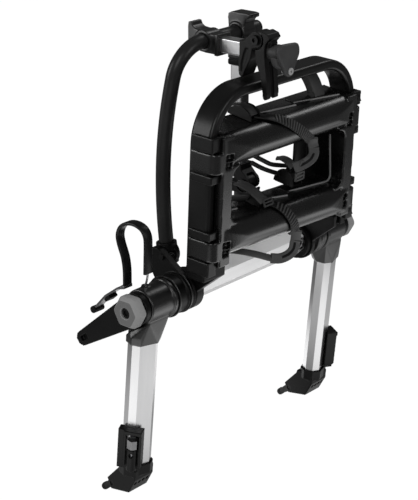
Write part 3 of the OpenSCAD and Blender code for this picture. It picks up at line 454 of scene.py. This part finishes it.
for side in ("left", "right"):
    softened(side + "_hub", side + "_hub_casting", cast_coat, 0.0015, 6)
    softened(side + "_hook_lever", side + "_lever_arm", clamp_coat, 0.0011, 3)
softened("mast_clamp", "mast_clamp_casting", clamp_coat, 0.0013, 4)
softened("right_collar", "right_collar_casting", cast_coat, 0.0013, 3)
softened("hinge_brackets", "hinge_bracket_castings", clamp_coat, 0.0013, 4, web=(0.174, 0.1846, 0.197))


def turned(bm, profile, place, axis, steps=48):
    """Spins a closed outline of (along, out) points round an axis through a place."""
    side = Vector((0.0, 0.0, 1.0))
    verts = [bm.verts.new(place + axis * along + side * out) for along, out in profile]
    edges = [bm.edges.new(pair) for pair in zip(verts, verts[1:] + verts[:1])]
    bmesh.ops.spin(bm, geom=verts + edges, cent=place, axis=axis, angle=2 * math.pi, steps=steps, use_merge=True)


rim_bm = bmesh.new()
for x in (-0.2285, -0.197):
    turned(rim_bm, [(-0.0016, 0.0290), (-0.0016, 0.0402), (-0.0008, 0.0410), (0.0008, 0.0410), (0.0016, 0.0402),
                    (0.0016, 0.0290)], Vector((x, 0.0, 0.0)), Vector((1.0, 0.0, 0.0)))
piece(rim_bm, "mast_clamp_rims", "frame", cast_coat)
grommet_bm = bmesh.new()
turned(grommet_bm, [(0.0002, 0.0084), (0.0002, 0.0128), (0.0022, 0.0134), (0.0036, 0.0124), (0.0040, 0.0106),
                    (0.0034, 0.0088)], Vector((0.151, -0.0250, 0.003)), Vector((0.0, -1.0, 0.0)))
piece(grommet_bm, "pin_hole_grommet", "frame", cast_coat)

# Hand nuts.
# Six sided grey plastic grips moulded over a steel nut, with broken corners, and a near black disc down in the bore as
# painted shade of the hole.
nut_grey = moulded("nut_grey", (0.11, 0.11, 0.11), (0.19, 0.19, 0.19), 0.5, specular=0.35, grain=900.0, depth=0.0002)
nut_wire = Wire(nut_grey.node_tree)
# The grip's face across the screw is painted darker and its sides and broken corners lighter, by which way each face
# points: painted shade and painted light.
nut_facing = nut_wire.make("ShaderNodeTexCoord", out="Normal")
nut_turn = nut_wire.make("ShaderNodeSeparateXYZ", None, {0: nut_facing})
nut_painted_shade = (nut_turn * nut_turn).above(0.6, 0.9)
nut_cloud = spots(nut_wire, 900.0, 2.0)
(nut_painted_shade * 0.75 + nut_cloud * 0.25).tint((0.29, 0.29, 0.29), (0.11, 0.11, 0.11)).into(
    nut_grey.node_tree.nodes["Principled BSDF"], "Base Color")
# Near black for the nut bores and the buckle slots: painted shade of the holes.
hole_shade_black = moulded("hole_shade_black", (0.0014, 0.0014, 0.0014), (0.003, 0.003, 0.003), 0.5, specular=0.3)
nut_back, nut_front, nut_flats, bore = 0.3118, 0.3378, 0.058, 0.0108


def six_sided(flats, corner, count=96):
    """Points (y, z) round a hexagon with a corner at each end of Y and its corners rounded off."""
    points = []
    for step in range(count):
        a = 2 * math.pi * step / count
        flat = flats / 2 / math.cos((a % (math.pi / 3)) - math.pi / 6)
        reach = (flat ** -60 + corner ** -60) ** (-1 / 60)
        points.append((reach * math.cos(a), reach * math.sin(a)))
    return points


def stacked(bm, rings):
    """Extrudes a closed ring of points through the rings that follow it and closes both ends."""
    loop = [bm.verts.new(point) for point in rings[0]]
    edges = [bm.edges.new(pair) for pair in zip(loop, loop[1:] + loop[:1])]
    first = list(edges)
    for ring in rings[1:]:
        grown = bmesh.ops.extrude_edge_only(bm, edges=edges)["geom"]
        fresh = {g for g in grown if isinstance(g, bmesh.types.BMVert)}
        loop = [next(e.other_vert(v) for e in v.link_edges if e.other_vert(v) in fresh) for v in loop]
        for vert, point in zip(loop, ring):
            vert.co = point
        edges = [bm.edges.get(pair) for pair in zip(loop, loop[1:] + loop[:1])]
    bmesh.ops.contextual_create(bm, geom=first)
    bmesh.ops.contextual_create(bm, geom=edges)


for side, sign in (("left", -1.0), ("right", 1.0)):
    outer = [(nut_back, 0.92), (nut_back + 0.0025, 0.985), (nut_back + 0.004, 1.0), (nut_front - 0.0085, 1.0),
             (nut_front - 0.0075, 0.99), (nut_front - 0.0015, 0.86), (nut_front - 0.0005, 0.835), (nut_front, 0.81)]
    rings = [[(sign * x, y, z) for y, z in six_sided(nut_flats * share, nut_flats * 0.557 * share)]
             for x, share in outer]
    for x, radius in ((nut_front, bore + 0.001), (nut_front - 0.001, bore), (nut_front - 0.007, bore)):
        rings.append([(sign * x, y, z) for y, z in six_sided(radius * 9, radius)])
    nut_bm = bmesh.new()
    stacked(nut_bm, rings)
    nut = piece(nut_bm, side + "_nut_grip", side + "_nut", nut_grey, angle=28.0)
    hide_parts(side + "_hand_nut")
    # A near black disc down in the bore paints the shade of the hole.
    bore_shade_bm = bmesh.new()
    rings = []
    for x, radius in ((0.0070, bore * 0.98), (0.0045, bore * 0.98), (0.0040, bore * 0.9), (0.0040, bore * 0.55),
                      (0.0066, bore * 0.5)):
        rings.append([(sign * (nut_front - x), y, z) for y, z in six_sided(radius * 9, radius, 48)])
    stacked(bore_shade_bm, rings)
    piece(bore_shade_bm, side + "_bore_plug", side + "_nut", hole_shade_black)

# Feet.
# Moulded shoes and clamp blocks in black plastic, a zinc plated bolt, and a hook with a rubber tip.
foot_black = moulded("foot_black", (0.0014, 0.0014, 0.0014), (0.003, 0.003, 0.003), 0.38, specular=0.3, grain=600.0, edge=0.0008)
zinc = brushed("zinc", (0.30, 0.30, 0.31), (0.48, 0.48, 0.48), 0.36, (1.0, 1.0, 1.0))
dark_steel = brushed("dark_steel", (0.03, 0.03, 0.03), (0.06, 0.06, 0.06), 0.38, (1.0, 1.0, 1.0))
soft_black = moulded("soft_black", (0.003, 0.003, 0.003), (0.006, 0.006, 0.006), 0.55, specular=0.25, grain=500.0)
for side in ("left", "right"):
    softened(side + "_foot_shoe", side + "_shoe", foot_black, 0.0011, 5)
    softened(side + "_foot_clamp", side + "_clamp_block", foot_black, 0.0010, 2)
    softened(side + "_hook_ends", side + "_rubber_ends", soft_black, 0.0009, 4)
    dressed(zinc, side + "_foot_screw", side + "_tailgate_hook")
    dressed(dark_steel, side + "_lower_hook")
tip_axis = Vector((0.0, 0.77, -0.64)).normalized()
for side, sign in (("left", -1.0), ("right", 1.0)):
    tip_bm = bmesh.new()
    middle = Vector((sign * 0.2804, 0.1151, -0.418))
    across, out = Vector((1.0, 0.0, 0.0)), tip_axis.cross(Vector((1.0, 0.0, 0.0)))
    stacked(tip_bm, [[middle + tip_axis * along + (across * math.cos(a) + out * math.sin(a)) * radius
                      for a in (2 * math.pi * step / 32 for step in range(32))]
                     for along, radius in ((-0.0110, 0.0052), (-0.0050, 0.0054), (-0.0042, 0.0070), (-0.0030, 0.0075),
                                           (0.0048, 0.0075), (0.0072, 0.0068), (0.0082, 0.0050))])
    tip = piece(tip_bm, side + "_rubber_tip", side + "_lowhook", soft_black)
    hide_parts(side + "_hook_tip")
dressed(dark_steel, "clamp_screws", "hub_spindles")
dressed(soft_black, "hinge_bushings", "mast_plug")

# Arms and claws.
# Cast brackets and jaws on the aluminium arms, dark bolts, and grey knobs with a steel lock barrel.
claw_black = moulded("claw_black", (0.002, 0.002, 0.002), (0.004, 0.004, 0.004), 0.42, specular=0.45, grain=700.0, edge=0.001)
knob_grey = moulded("knob_grey", (0.035, 0.035, 0.036), (0.06, 0.06, 0.06), 0.45, specular=0.3, grain=900.0)
for arm in ("short", "long"):
    softened(arm + "_arm_bracket", arm + "_bracket_casting", cast_coat, 0.0012, 4)
    softened(arm + "_claw_body", arm + "_rear_jaw", claw_black, 0.0010, 3)
    softened(arm + "_front_jaw", arm + "_front_bow", claw_black, 0.0010, 3)
    dressed(dark_steel, arm + "_pivot_bolt")
collar_bm = bmesh.new()
collar_ring = [(sx * 12.5 + 3.5 * math.cos(a), sy * 14.5 + 3.5 * math.sin(a)) for sx, sy, start in
               ((1, 1, 0), (-1, 1, 90), (-1, -1, 180), (1, -1, 270)) for a in
               (math.radians(start + step * 22.5) for step in range(5))]
stacked(collar_bm, [[Vector((11.0 + x * share, 20.7 + y * share, z)) / 1000 for x, y in collar_ring]
                    for z, share in ((394, 0.86), (395, 0.95), (397, 1.0), (404, 1.0), (405, 0.93), (407, 0.93), (408, 1.0),
                                     (414, 1.0), (416, 0.95), (417, 0.86))])
piece(collar_bm, "long_arm_collar", "long_arm", foot_black)
# The knob's wings are lofted through outlines taken across the screw's axis, and the barrel turns in the long wing.
knob_face = [(-34.8, 18.7), (-28.7, 22.8), (-12.5, 22.4), (3.9, 21.3), (16.5, 19.3), (21.8, 11.2), (21.2, -1.0),
             (14.5, -12.4), (7.5, -26.5), (1.7, -35.7), (-5.7, -38.2), (-14.2, -34.2), (-18.4, -25.0), (-27.8, -9.3),
             (-35.5, 7.6)]
knob_wing = [(-30.0, -2.0), (-18.0, -4.0), (-4.0, -10.0), (2.0, -22.0), (-2.0, -29.0), (-12.0, -27.0), (-24.0, -18.0)]
knob_boss = [(15.0 * math.cos(a * math.pi / 12), 15.0 * math.sin(a * math.pi / 12)) for a in range(24)]
knob_shapes = [(knob_face, (-6.0, -2.0), [(-49.0, 0.35), (-52.0, 0.55), (-57.0, 0.82), (-61.0, 0.95), (-65.0, 1.0),
                                          (-68.5, 0.98), (-70.3, 0.92), (-71.0, 0.84), (-70.4, 0.5)]),
               (knob_wing, (-12.0, -14.0), [(-40.0, 0.5), (-42.0, 0.8), (-47.0, 1.0), (-54.0, 1.0), (-58.0, 0.8)]),
               (knob_boss, (0.0, 0.0), [(-22.0, 0.8), (-36.0, 0.85), (-37.0, 1.0), (-46.0, 1.0), (-52.0, 0.9),
                                        (-58.0, 0.8)])]
lock_bright = brushed("lock_bright", (0.40, 0.40, 0.40), (0.55, 0.55, 0.55), 0.5, (1.0, 1.0, 1.0), metallic=0.4)
lock_rings = [(-55.0, 6.6), (-72.0, 6.6), (-72.6, 6.2), (-72.6, 2.2), (-70.6, 1.8)]
for arm, place in (("short", Matrix.Translation((-83.0, -105.31, 478.09))),
                   ("long", Matrix.Translation((11.0, -2.31, 166.09)) @ Matrix.Rotation(math.radians(90), 4, "X"))):
    to_rack = Matrix.Scale(0.001, 4) @ place @ Matrix.Translation((0.0, 0.0, -20.0))
    knob_bm = bmesh.new()
    for outline, (x, z), depths in knob_shapes:
        middle = Vector((x, 0.0, z))
        ring = eased([Vector((px, 0.0, pz)) for px, pz in outline + outline[:1]], 4)[:-1]
        stacked(knob_bm, [[to_rack @ (middle + (point - middle) * share + Vector((0.0, y, 0.0))) for point in ring]
                          for y, share in depths])
    knob = piece(knob_bm, arm + "_wing_knob", arm + "_wing", knob_grey, angle=60.0)
    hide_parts(arm + "_knob")
    lock_bm = bmesh.new()
    to_lock = to_rack @ Matrix.Translation((28.0 * math.cos(math.radians(260)), 0.0, 28.0 * math.sin(math.radians(260))))
    stacked(lock_bm, [[to_lock @ Vector((r * math.cos(a * math.pi / 16), y, r * math.sin(a * math.pi / 16)))
                       for a in range(32)] for y, r in lock_rings])
    lock = piece(lock_bm, arm + "_lock_barrel", arm + "_key", lock_bright)
    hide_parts(arm + "_lock")

# Wheel tray.
# One black moulding with two bulged trays, screwed to the platform tube and wrapped round it in bands.
# Raised panels stiffen its walls, light grey beads along the panel edges are painted highlight lines, and ridged clips
# close its ends over the tube.
tray_black = moulded("tray_black", (0.0014, 0.0014, 0.0014), (0.0028, 0.0028, 0.0028), 0.26, specular=1.0, grain=600.0, edge=0.0008, coat=0.4)
clip_black = moulded("clip_black", (0.0014, 0.0014, 0.0014), (0.003, 0.003, 0.003), 0.32, specular=0.6, grain=600.0, edge=0.0008)
fold = math.radians(2.68)
on_platform = Matrix.Translation((-0.006, 0.0, 0.0)) @ Matrix.Rotation(fold, 4, "X") @ Matrix.Scale(0.001, 4)
wall_slope = math.atan2(6.0, 59.0)
tray_height = {"upper": 298.0, "lower": 122.0}
tray_rake = {"upper": math.tan(math.radians(0.25)), "lower": math.tan(math.radians(2.25))}
softened("wheel_tray", "tray_moulding", tray_black, 0.0016, 5, 0.5)
softened("side_clips", "side_clip_mouldings", clip_black, 0.0012, 4)


def on_wall(tray, x, y):
    """Frame of a place on a tray's upper wall, in millimetres of the platform: Y up the slope, Z out of it."""
    z = tray_height[tray] - x * tray_rake[tray] + 32.0 + 6.0 * (y + 93.4) / 59.0
    return Matrix.Translation((x, y, z)) @ Matrix.Rotation(math.atan(tray_rake[tray]), 4, "Y") \
        @ Matrix.Rotation(wall_slope, 4, "X")


def block(bm, place, size):
    """A plain block of the given size, centred on a frame."""
    return bmesh.ops.create_cube(bm, size=1.0, matrix=place @ Matrix.Diagonal((*size, 1.0)))["verts"]


def broken(bm, width, steps, least=50.0):
    """Rounds the edges that are sharper than an angle."""
    sharp = [e for e in bm.edges if len(e.link_faces) == 2 and e.calc_face_angle() > math.radians(least)]
    bmesh.ops.bevel(bm, geom=sharp, offset=width, offset_type="OFFSET", segments=steps, profile=0.5,
                    affect="EDGES", clamp_overlap=True, material=-1)


panel_bm = bmesh.new()
for tray, x0, x1, front in (("upper", -66, 44, -70), ("upper", 50, 166, -77), ("lower", -26, 42, -73),
                            ("lower", 46, 166, -70), ("lower", -164, -104, -64)):
    back = -39.0
    place = on_wall(tray, (x0 + x1) / 2, (front + back) / 2) @ Matrix.Translation((0.0, 0.0, 0.9))
    block(panel_bm, place, (x1 - x0, back - front, 2.6))
broken(panel_bm, 0.9, 3)
bmesh.ops.transform(panel_bm, matrix=on_platform, verts=panel_bm.verts)
piece(panel_bm, "wall_panels", "platform", tray_black)
# The beads along the panel edges are light grey, far lighter than the black moulding: painted highlight lines on the
# panel edges.
bead_painted_highlight = moulded("bead_painted_highlight", (0.18, 0.18, 0.18), (0.24, 0.24, 0.24), 0.35, specular=0.6)
highlight_bead_bm = bmesh.new()
for tray, x0, y0, x1, y1 in (("upper", -66, -64, 44, -77), ("upper", 50, -68, 166, -88), ("lower", -9, -69, 33, -78),
                             ("lower", 53, -67, 162, -75), ("lower", -164, -62, -104, -66)):
    ends = [on_wall(tray, x0 + (x1 - x0) * part, y0 + (y1 - y0) * part) @ Vector((0.0, 0.0, 1.4))
            for part in (0.0, 0.25, 0.5, 0.75, 1.0)]
    if (tray, x1) == ("lower", 162):
        ends += [Vector(p) for p in ((167.5, -77, 155), (170.6, -77.5, 163), (170.8, -76, 183), (170.8, -73, 214),
                                     (170.8, -70.5, 246))]
    swept(highlight_bead_bm, eased(ends, 3), oval(2.0, 3.2, 8), Vector((0.0, 1.0, 0.0)))
bmesh.ops.transform(highlight_bead_bm, matrix=on_platform, verts=highlight_bead_bm.verts)
piece(highlight_bead_bm, "panel_highlight_beads", "platform", bead_painted_highlight)
web_bm = bmesh.new()
block(web_bm, Matrix.Translation((134.0, -40.5, 206.0)), (78.0, 2.6, 112.0))
for x in (97.0, 134.0):
    block(web_bm, Matrix.Translation((x, -42.5, 206.0)), (4.0, 3.4, 110.0))
broken(web_bm, 0.6, 2)
bmesh.ops.transform(web_bm, matrix=on_platform, verts=web_bm.verts)
piece(web_bm, "window_web", "platform", clip_black)

ridge_bm = bmesh.new()
for z in (81.0, 317.0):
    for step in range(5):
        place = Matrix.Translation((204.5 + 3.6 * step, -101.2, z)) @ Matrix.Rotation(math.radians(-28), 4, "Y")
        block(ridge_bm, place, (1.7, 2.4, 17.0))
for z in (145.0, 252.0):
    for step in range(3):
        place = Matrix.Translation((206.0 + 5.0 * step, -101.2, z)) @ Matrix.Rotation(math.radians(-28), 4, "Y")
        block(ridge_bm, place, (2.0, 2.0, 9.0))
broken(ridge_bm, 0.4, 2)
bmesh.ops.transform(ridge_bm, matrix=on_platform, verts=ridge_bm.verts)
piece(ridge_bm, "clip_ridges", "platform", clip_black)

# Wheel straps and buckles.
# Ribbed rubber straps run over the trays from ratchets on the tray walls; their ribs are lighter grey as painted
# highlight. Each ends in a curled grey buckle that turns on a pin, with a near black band in its slot as painted
# shade, and the ratchets are two D shaped cheeks with a drum and a thumb lever.
strap_black = moulded("strap_black", (0.005, 0.005, 0.005), (0.009, 0.009, 0.009), 0.45, grain=700.0)
buckle_grey = moulded("buckle_grey", (0.05, 0.05, 0.05), (0.085, 0.085, 0.085), 0.42, specular=0.3, grain=900.0)
ratchet_black = moulded("ratchet_black", (0.002, 0.002, 0.002), (0.004, 0.004, 0.004), 0.4, grain=700.0)
lever_grey = moulded("lever_grey", (0.034, 0.034, 0.034), (0.055, 0.055, 0.055), 0.45, grain=700.0)
tray_front, tray_bulge, tray_radius, lift = -92.4, 24.0, 33.333, 3.5
strap_width, strap_thick = 20.0, 3.0
sideways = Vector((1.0, 0.0, 0.0))


def strap_points(tray, first_x, last_x):
    """Route of a strap: slantwise along the tray's upper wall and down over its bulge."""
    around = [(-72.0, 32.0 + 6.0 * (-72.0 - tray_front + 1.0) / 59.0 + lift)]
    reach = tray_radius + lift
    for degrees in range(8, 153, 12):
        a = math.radians(degrees)
        around.append((tray_front - tray_bulge + tray_radius - reach * math.sin(a), reach * math.cos(a)))
    points = []
    for index, (y, z) in enumerate(around):
        x = first_x + (last_x - first_x) * min(1.0, index / (len(around) - 2))
        points.append(Vector((x, y, tray_height[tray] - x * tray_rake[tray] + z)))
    return points


def ribs_on(bm, route, pitch, size):
    """Ratchet teeth across the outer side of a strap, where it bends over the tray."""
    travelled = pitch
    for index in range(len(route) // 5, len(route) - 1):
        travelled += (route[index] - route[index - 1]).length
        if travelled >= pitch:
            travelled = 0.0
            block(bm, station(route, index, sideways) @ Matrix.Translation((0.0, strap_thick / 2, 0.0)), size)


def band(bm, points, width, thick, steps=5, across=sideways):
    """A flat moulded band through points of the platform, with its width across the rack unless told."""
    ring = oval(width, thick, 12) if width > thick else [(y, x) for x, y in reversed(oval(thick, width, 12))]
    swept(bm, eased([Vector(p) for p in points], steps), ring, across)


def ratchet(bm, place, half, long, tall):
    """A ratchet body on a wall: two D shaped cheeks, the drum between them, a cross pin and a base plate."""
    for x in (-half, half - 2.6):
        stood = place @ Matrix.Translation((x, 0.0, 1.0))
        round_plate = stood @ Matrix.Rotation(math.radians(90), 4, "Y") @ Matrix.Diagonal((tall, long, 1.0, 1.0))
        rim = bmesh.ops.create_circle(bm, cap_ends=True, segments=36, radius=1.0, matrix=round_plate)["verts"]
        plate = {g for v in rim for g in (v, *v.link_edges, *v.link_faces)}
        cut = bmesh.ops.bisect_plane(bm, geom=list(plate), plane_co=stood.translation,
                                     plane_no=place.to_3x3() @ Vector((0.0, 0.0, 1.0)), clear_inner=True)["geom"]
        flat = [g for g in cut if isinstance(g, bmesh.types.BMFace)]
        grown = bmesh.ops.extrude_face_region(bm, geom=flat)["geom"]
        bmesh.ops.translate(bm, vec=place.to_3x3() @ Vector((2.6, 0.0, 0.0)),
                            verts=[g for g in grown if isinstance(g, bmesh.types.BMVert)])
    turned = Matrix.Rotation(math.radians(90), 4, "Y")
    for y, z, radius in ((-long * 0.15, tall * 0.45, tall * 0.36), (long * 0.62, tall * 0.4, tall * 0.16)):
        bmesh.ops.create_cone(bm, cap_ends=True, segments=24, radius1=radius, radius2=radius, depth=2 * half - 4.0,
                              matrix=place @ Matrix.Translation((0.0, y, z + 1.0)) @ turned)
    block(bm, place @ Matrix.Translation((0.0, 0.0, 1.6)), (2 * half, 1.7 * long, 2.4))


def clasp(bm, place, width, height):
    """A small strap slide: a frame with a bar across its middle."""
    for z in (-height / 2, 0.0, height / 2):
        block(bm, place @ Matrix.Translation((0.0, 0.0, z)), (width, 3.4, 2.6))
    for x in (-width / 2, width / 2):
        block(bm, place @ Matrix.Translation((x, 0.0, 0.0)), (2.8, 3.4, height + 2.6))


for tray, first_x, last_x in (("upper", -72.0, 56.0), ("lower", -38.0, 22.0)):
    route = eased(strap_points(tray, first_x, last_x), 10)
    strap_bm = bmesh.new()
    swept(strap_bm, route, oval(strap_width, strap_thick, 12), sideways)
    bmesh.ops.transform(strap_bm, matrix=on_platform, verts=strap_bm.verts)
    strap = piece(strap_bm, tray + "_ribbed_strap", "platform", strap_black)
    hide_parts(tray + "_strap")
    # The ribs wear the lighter lever grey against the black strap: painted highlight on the rib tops.
    rib_bm = bmesh.new()
    ribs_on(rib_bm, route, 6.5, (19.0, 4.2, 3.2))
    broken(rib_bm, 0.5, 2)
    bmesh.ops.transform(rib_bm, matrix=on_platform, verts=rib_bm.verts)
    piece(rib_bm, tray + "_strap_ribs", "platform", lever_grey)

body_bm = bmesh.new()
ratchet(body_bm, on_wall("upper", -84.0, -58.0), 15.0, 28.0, 21.0)
ratchet(body_bm, on_wall("lower", -50.0, -60.0), 14.0, 26.0, 20.0)
ratchet(body_bm, on_wall("lower", 76.0, -44.0) @ Matrix.Translation((0.0, 0.0, 6.0)), 15.0, 24.0, 30.0)
broken(body_bm, 0.7, 2)
bmesh.ops.transform(body_bm, matrix=on_platform, verts=body_bm.verts)
bodies = piece(body_bm, "ratchet_bodies", "platform", ratchet_black)
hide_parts("strap_bases")

lever_bm = bmesh.new()
band(lever_bm, [(-83, -12, 347), (-83, -30, 352), (-82, -48, 354), (-81, -66, 350), (-80, -78, 340)], 22.0, 4.0)
band(lever_bm, [(-58, -28, 192), (-57, -46, 190), (-56, -62, 185), (-54, -80, 175), (-52, -89, 168)], 27.0, 4.0)
band(lever_bm, [(-120, -46, 178), (-96, -50, 176), (-70, -56, 172), (-52, -62, 168)], 4.0, 16.0)
band(lever_bm, [(58, -28, 212), (64, -38, 213), (70, -48, 208), (75, -56, 198)], 22.0, 4.0)
band(lever_bm, [(122, -52, 372), (124, -60, 360), (125, -66, 348), (126, -70, 338), (126, -72, 333)], 30.0, 4.5)
band(lever_bm, [(106, -44, 374), (108, -52, 362), (110, -58, 350), (111, -62, 340)], 4.0, 16.0)
clasp(lever_bm, Matrix.Translation((-44.0, -92.0, 166.0)) @ Matrix.Rotation(math.radians(-25), 4, "X"), 24.0, 12.0)
bmesh.ops.transform(lever_bm, matrix=on_platform, verts=lever_bm.verts)
piece(lever_bm, "thumb_levers", "platform", lever_grey)

slack_bm = bmesh.new()
band(slack_bm, [(-20, -30, 238), (11, -32, 220), (37, -32, 206), (63, -34, 198), (80, -38, 194)], 9.0, 6.0)
band(slack_bm, [(-20, -30, 222), (9, -32, 205), (38, -32, 191), (67, -34, 179)], 9.0, 6.0)
bmesh.ops.transform(slack_bm, matrix=on_platform, verts=slack_bm.verts)
piece(slack_bm, "slack_straps", "platform", strap_black)

roots = {"upper": [(50, -117, 276), (55, -114, 265), (59, -114, 256)],
         "lower": [(18, -117, 98), (22, -113, 84), (24, -111, 77)]}
curls = {"upper": [(59.5, -114, 255), (61, -114, 242), (58, -110, 231), (50, -102, 222), (41, -95, 217), (33, -90, 214)],
         "lower": [(24, -111, 76), (25, -109, 70), (23, -108, 56), (14, -104, 46), (-4, -98, 42), (-24, -91, 46)]}
slot_shades = {"upper": [(61, -114, 243), (58, -110, 231), (50, -102, 222), (43, -97, 218)],
         "lower": [(25, -109, 70), (23, -108, 57), (14, -104, 47), (0, -99, 43)]}
view = Vector((0.71, 0.61, -0.35))
tails = {"upper": [(50, -100, 228), (47, -97, 214), (44, -95, 204), (43, -95, 192)],
         "lower": [(-24, -91, 46), (-52, -78, 58), (-80, -65, 68), (-110, -50, 76)]}
root_bm = bmesh.new()
for tray in ("upper", "lower"):
    band(root_bm, roots[tray], 5.0, 20.0, 5, view)
bmesh.ops.transform(root_bm, matrix=on_platform, verts=root_bm.verts)
piece(root_bm, "buckle_roots", "platform", buckle_grey)
for tray in ("upper", "lower"):
    curl_bm = bmesh.new()
    band(curl_bm, curls[tray], 5.0, 20.0, 5, view)
    band(curl_bm, tails[tray], 16.0, 3.0)
    if tray == "upper":
        clasp(curl_bm, Matrix.Translation((43.0, -97.0, 197.0)), 24.0, 14.0)
    bmesh.ops.transform(curl_bm, matrix=on_platform, verts=curl_bm.verts)
    curl = piece(curl_bm, tray + "_curled_buckle", tray + "_lever", buckle_grey)
    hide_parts(tray + "_buckle")
    # A near black band, laid over each buckle's slot and moved towards the camera, is painted shade in the slot.
    slot_shade_bm = bmesh.new()
    band(slot_shade_bm, [Vector(p) - view * 2.0 for p in slot_shades[tray]], 2.4, 5.0, 5, view)
    bmesh.ops.transform(slot_shade_bm, matrix=on_platform, verts=slot_shade_bm.verts)
    piece(slot_shade_bm, tray + "_buckle_slot", tray + "_lever", hole_shade_black)
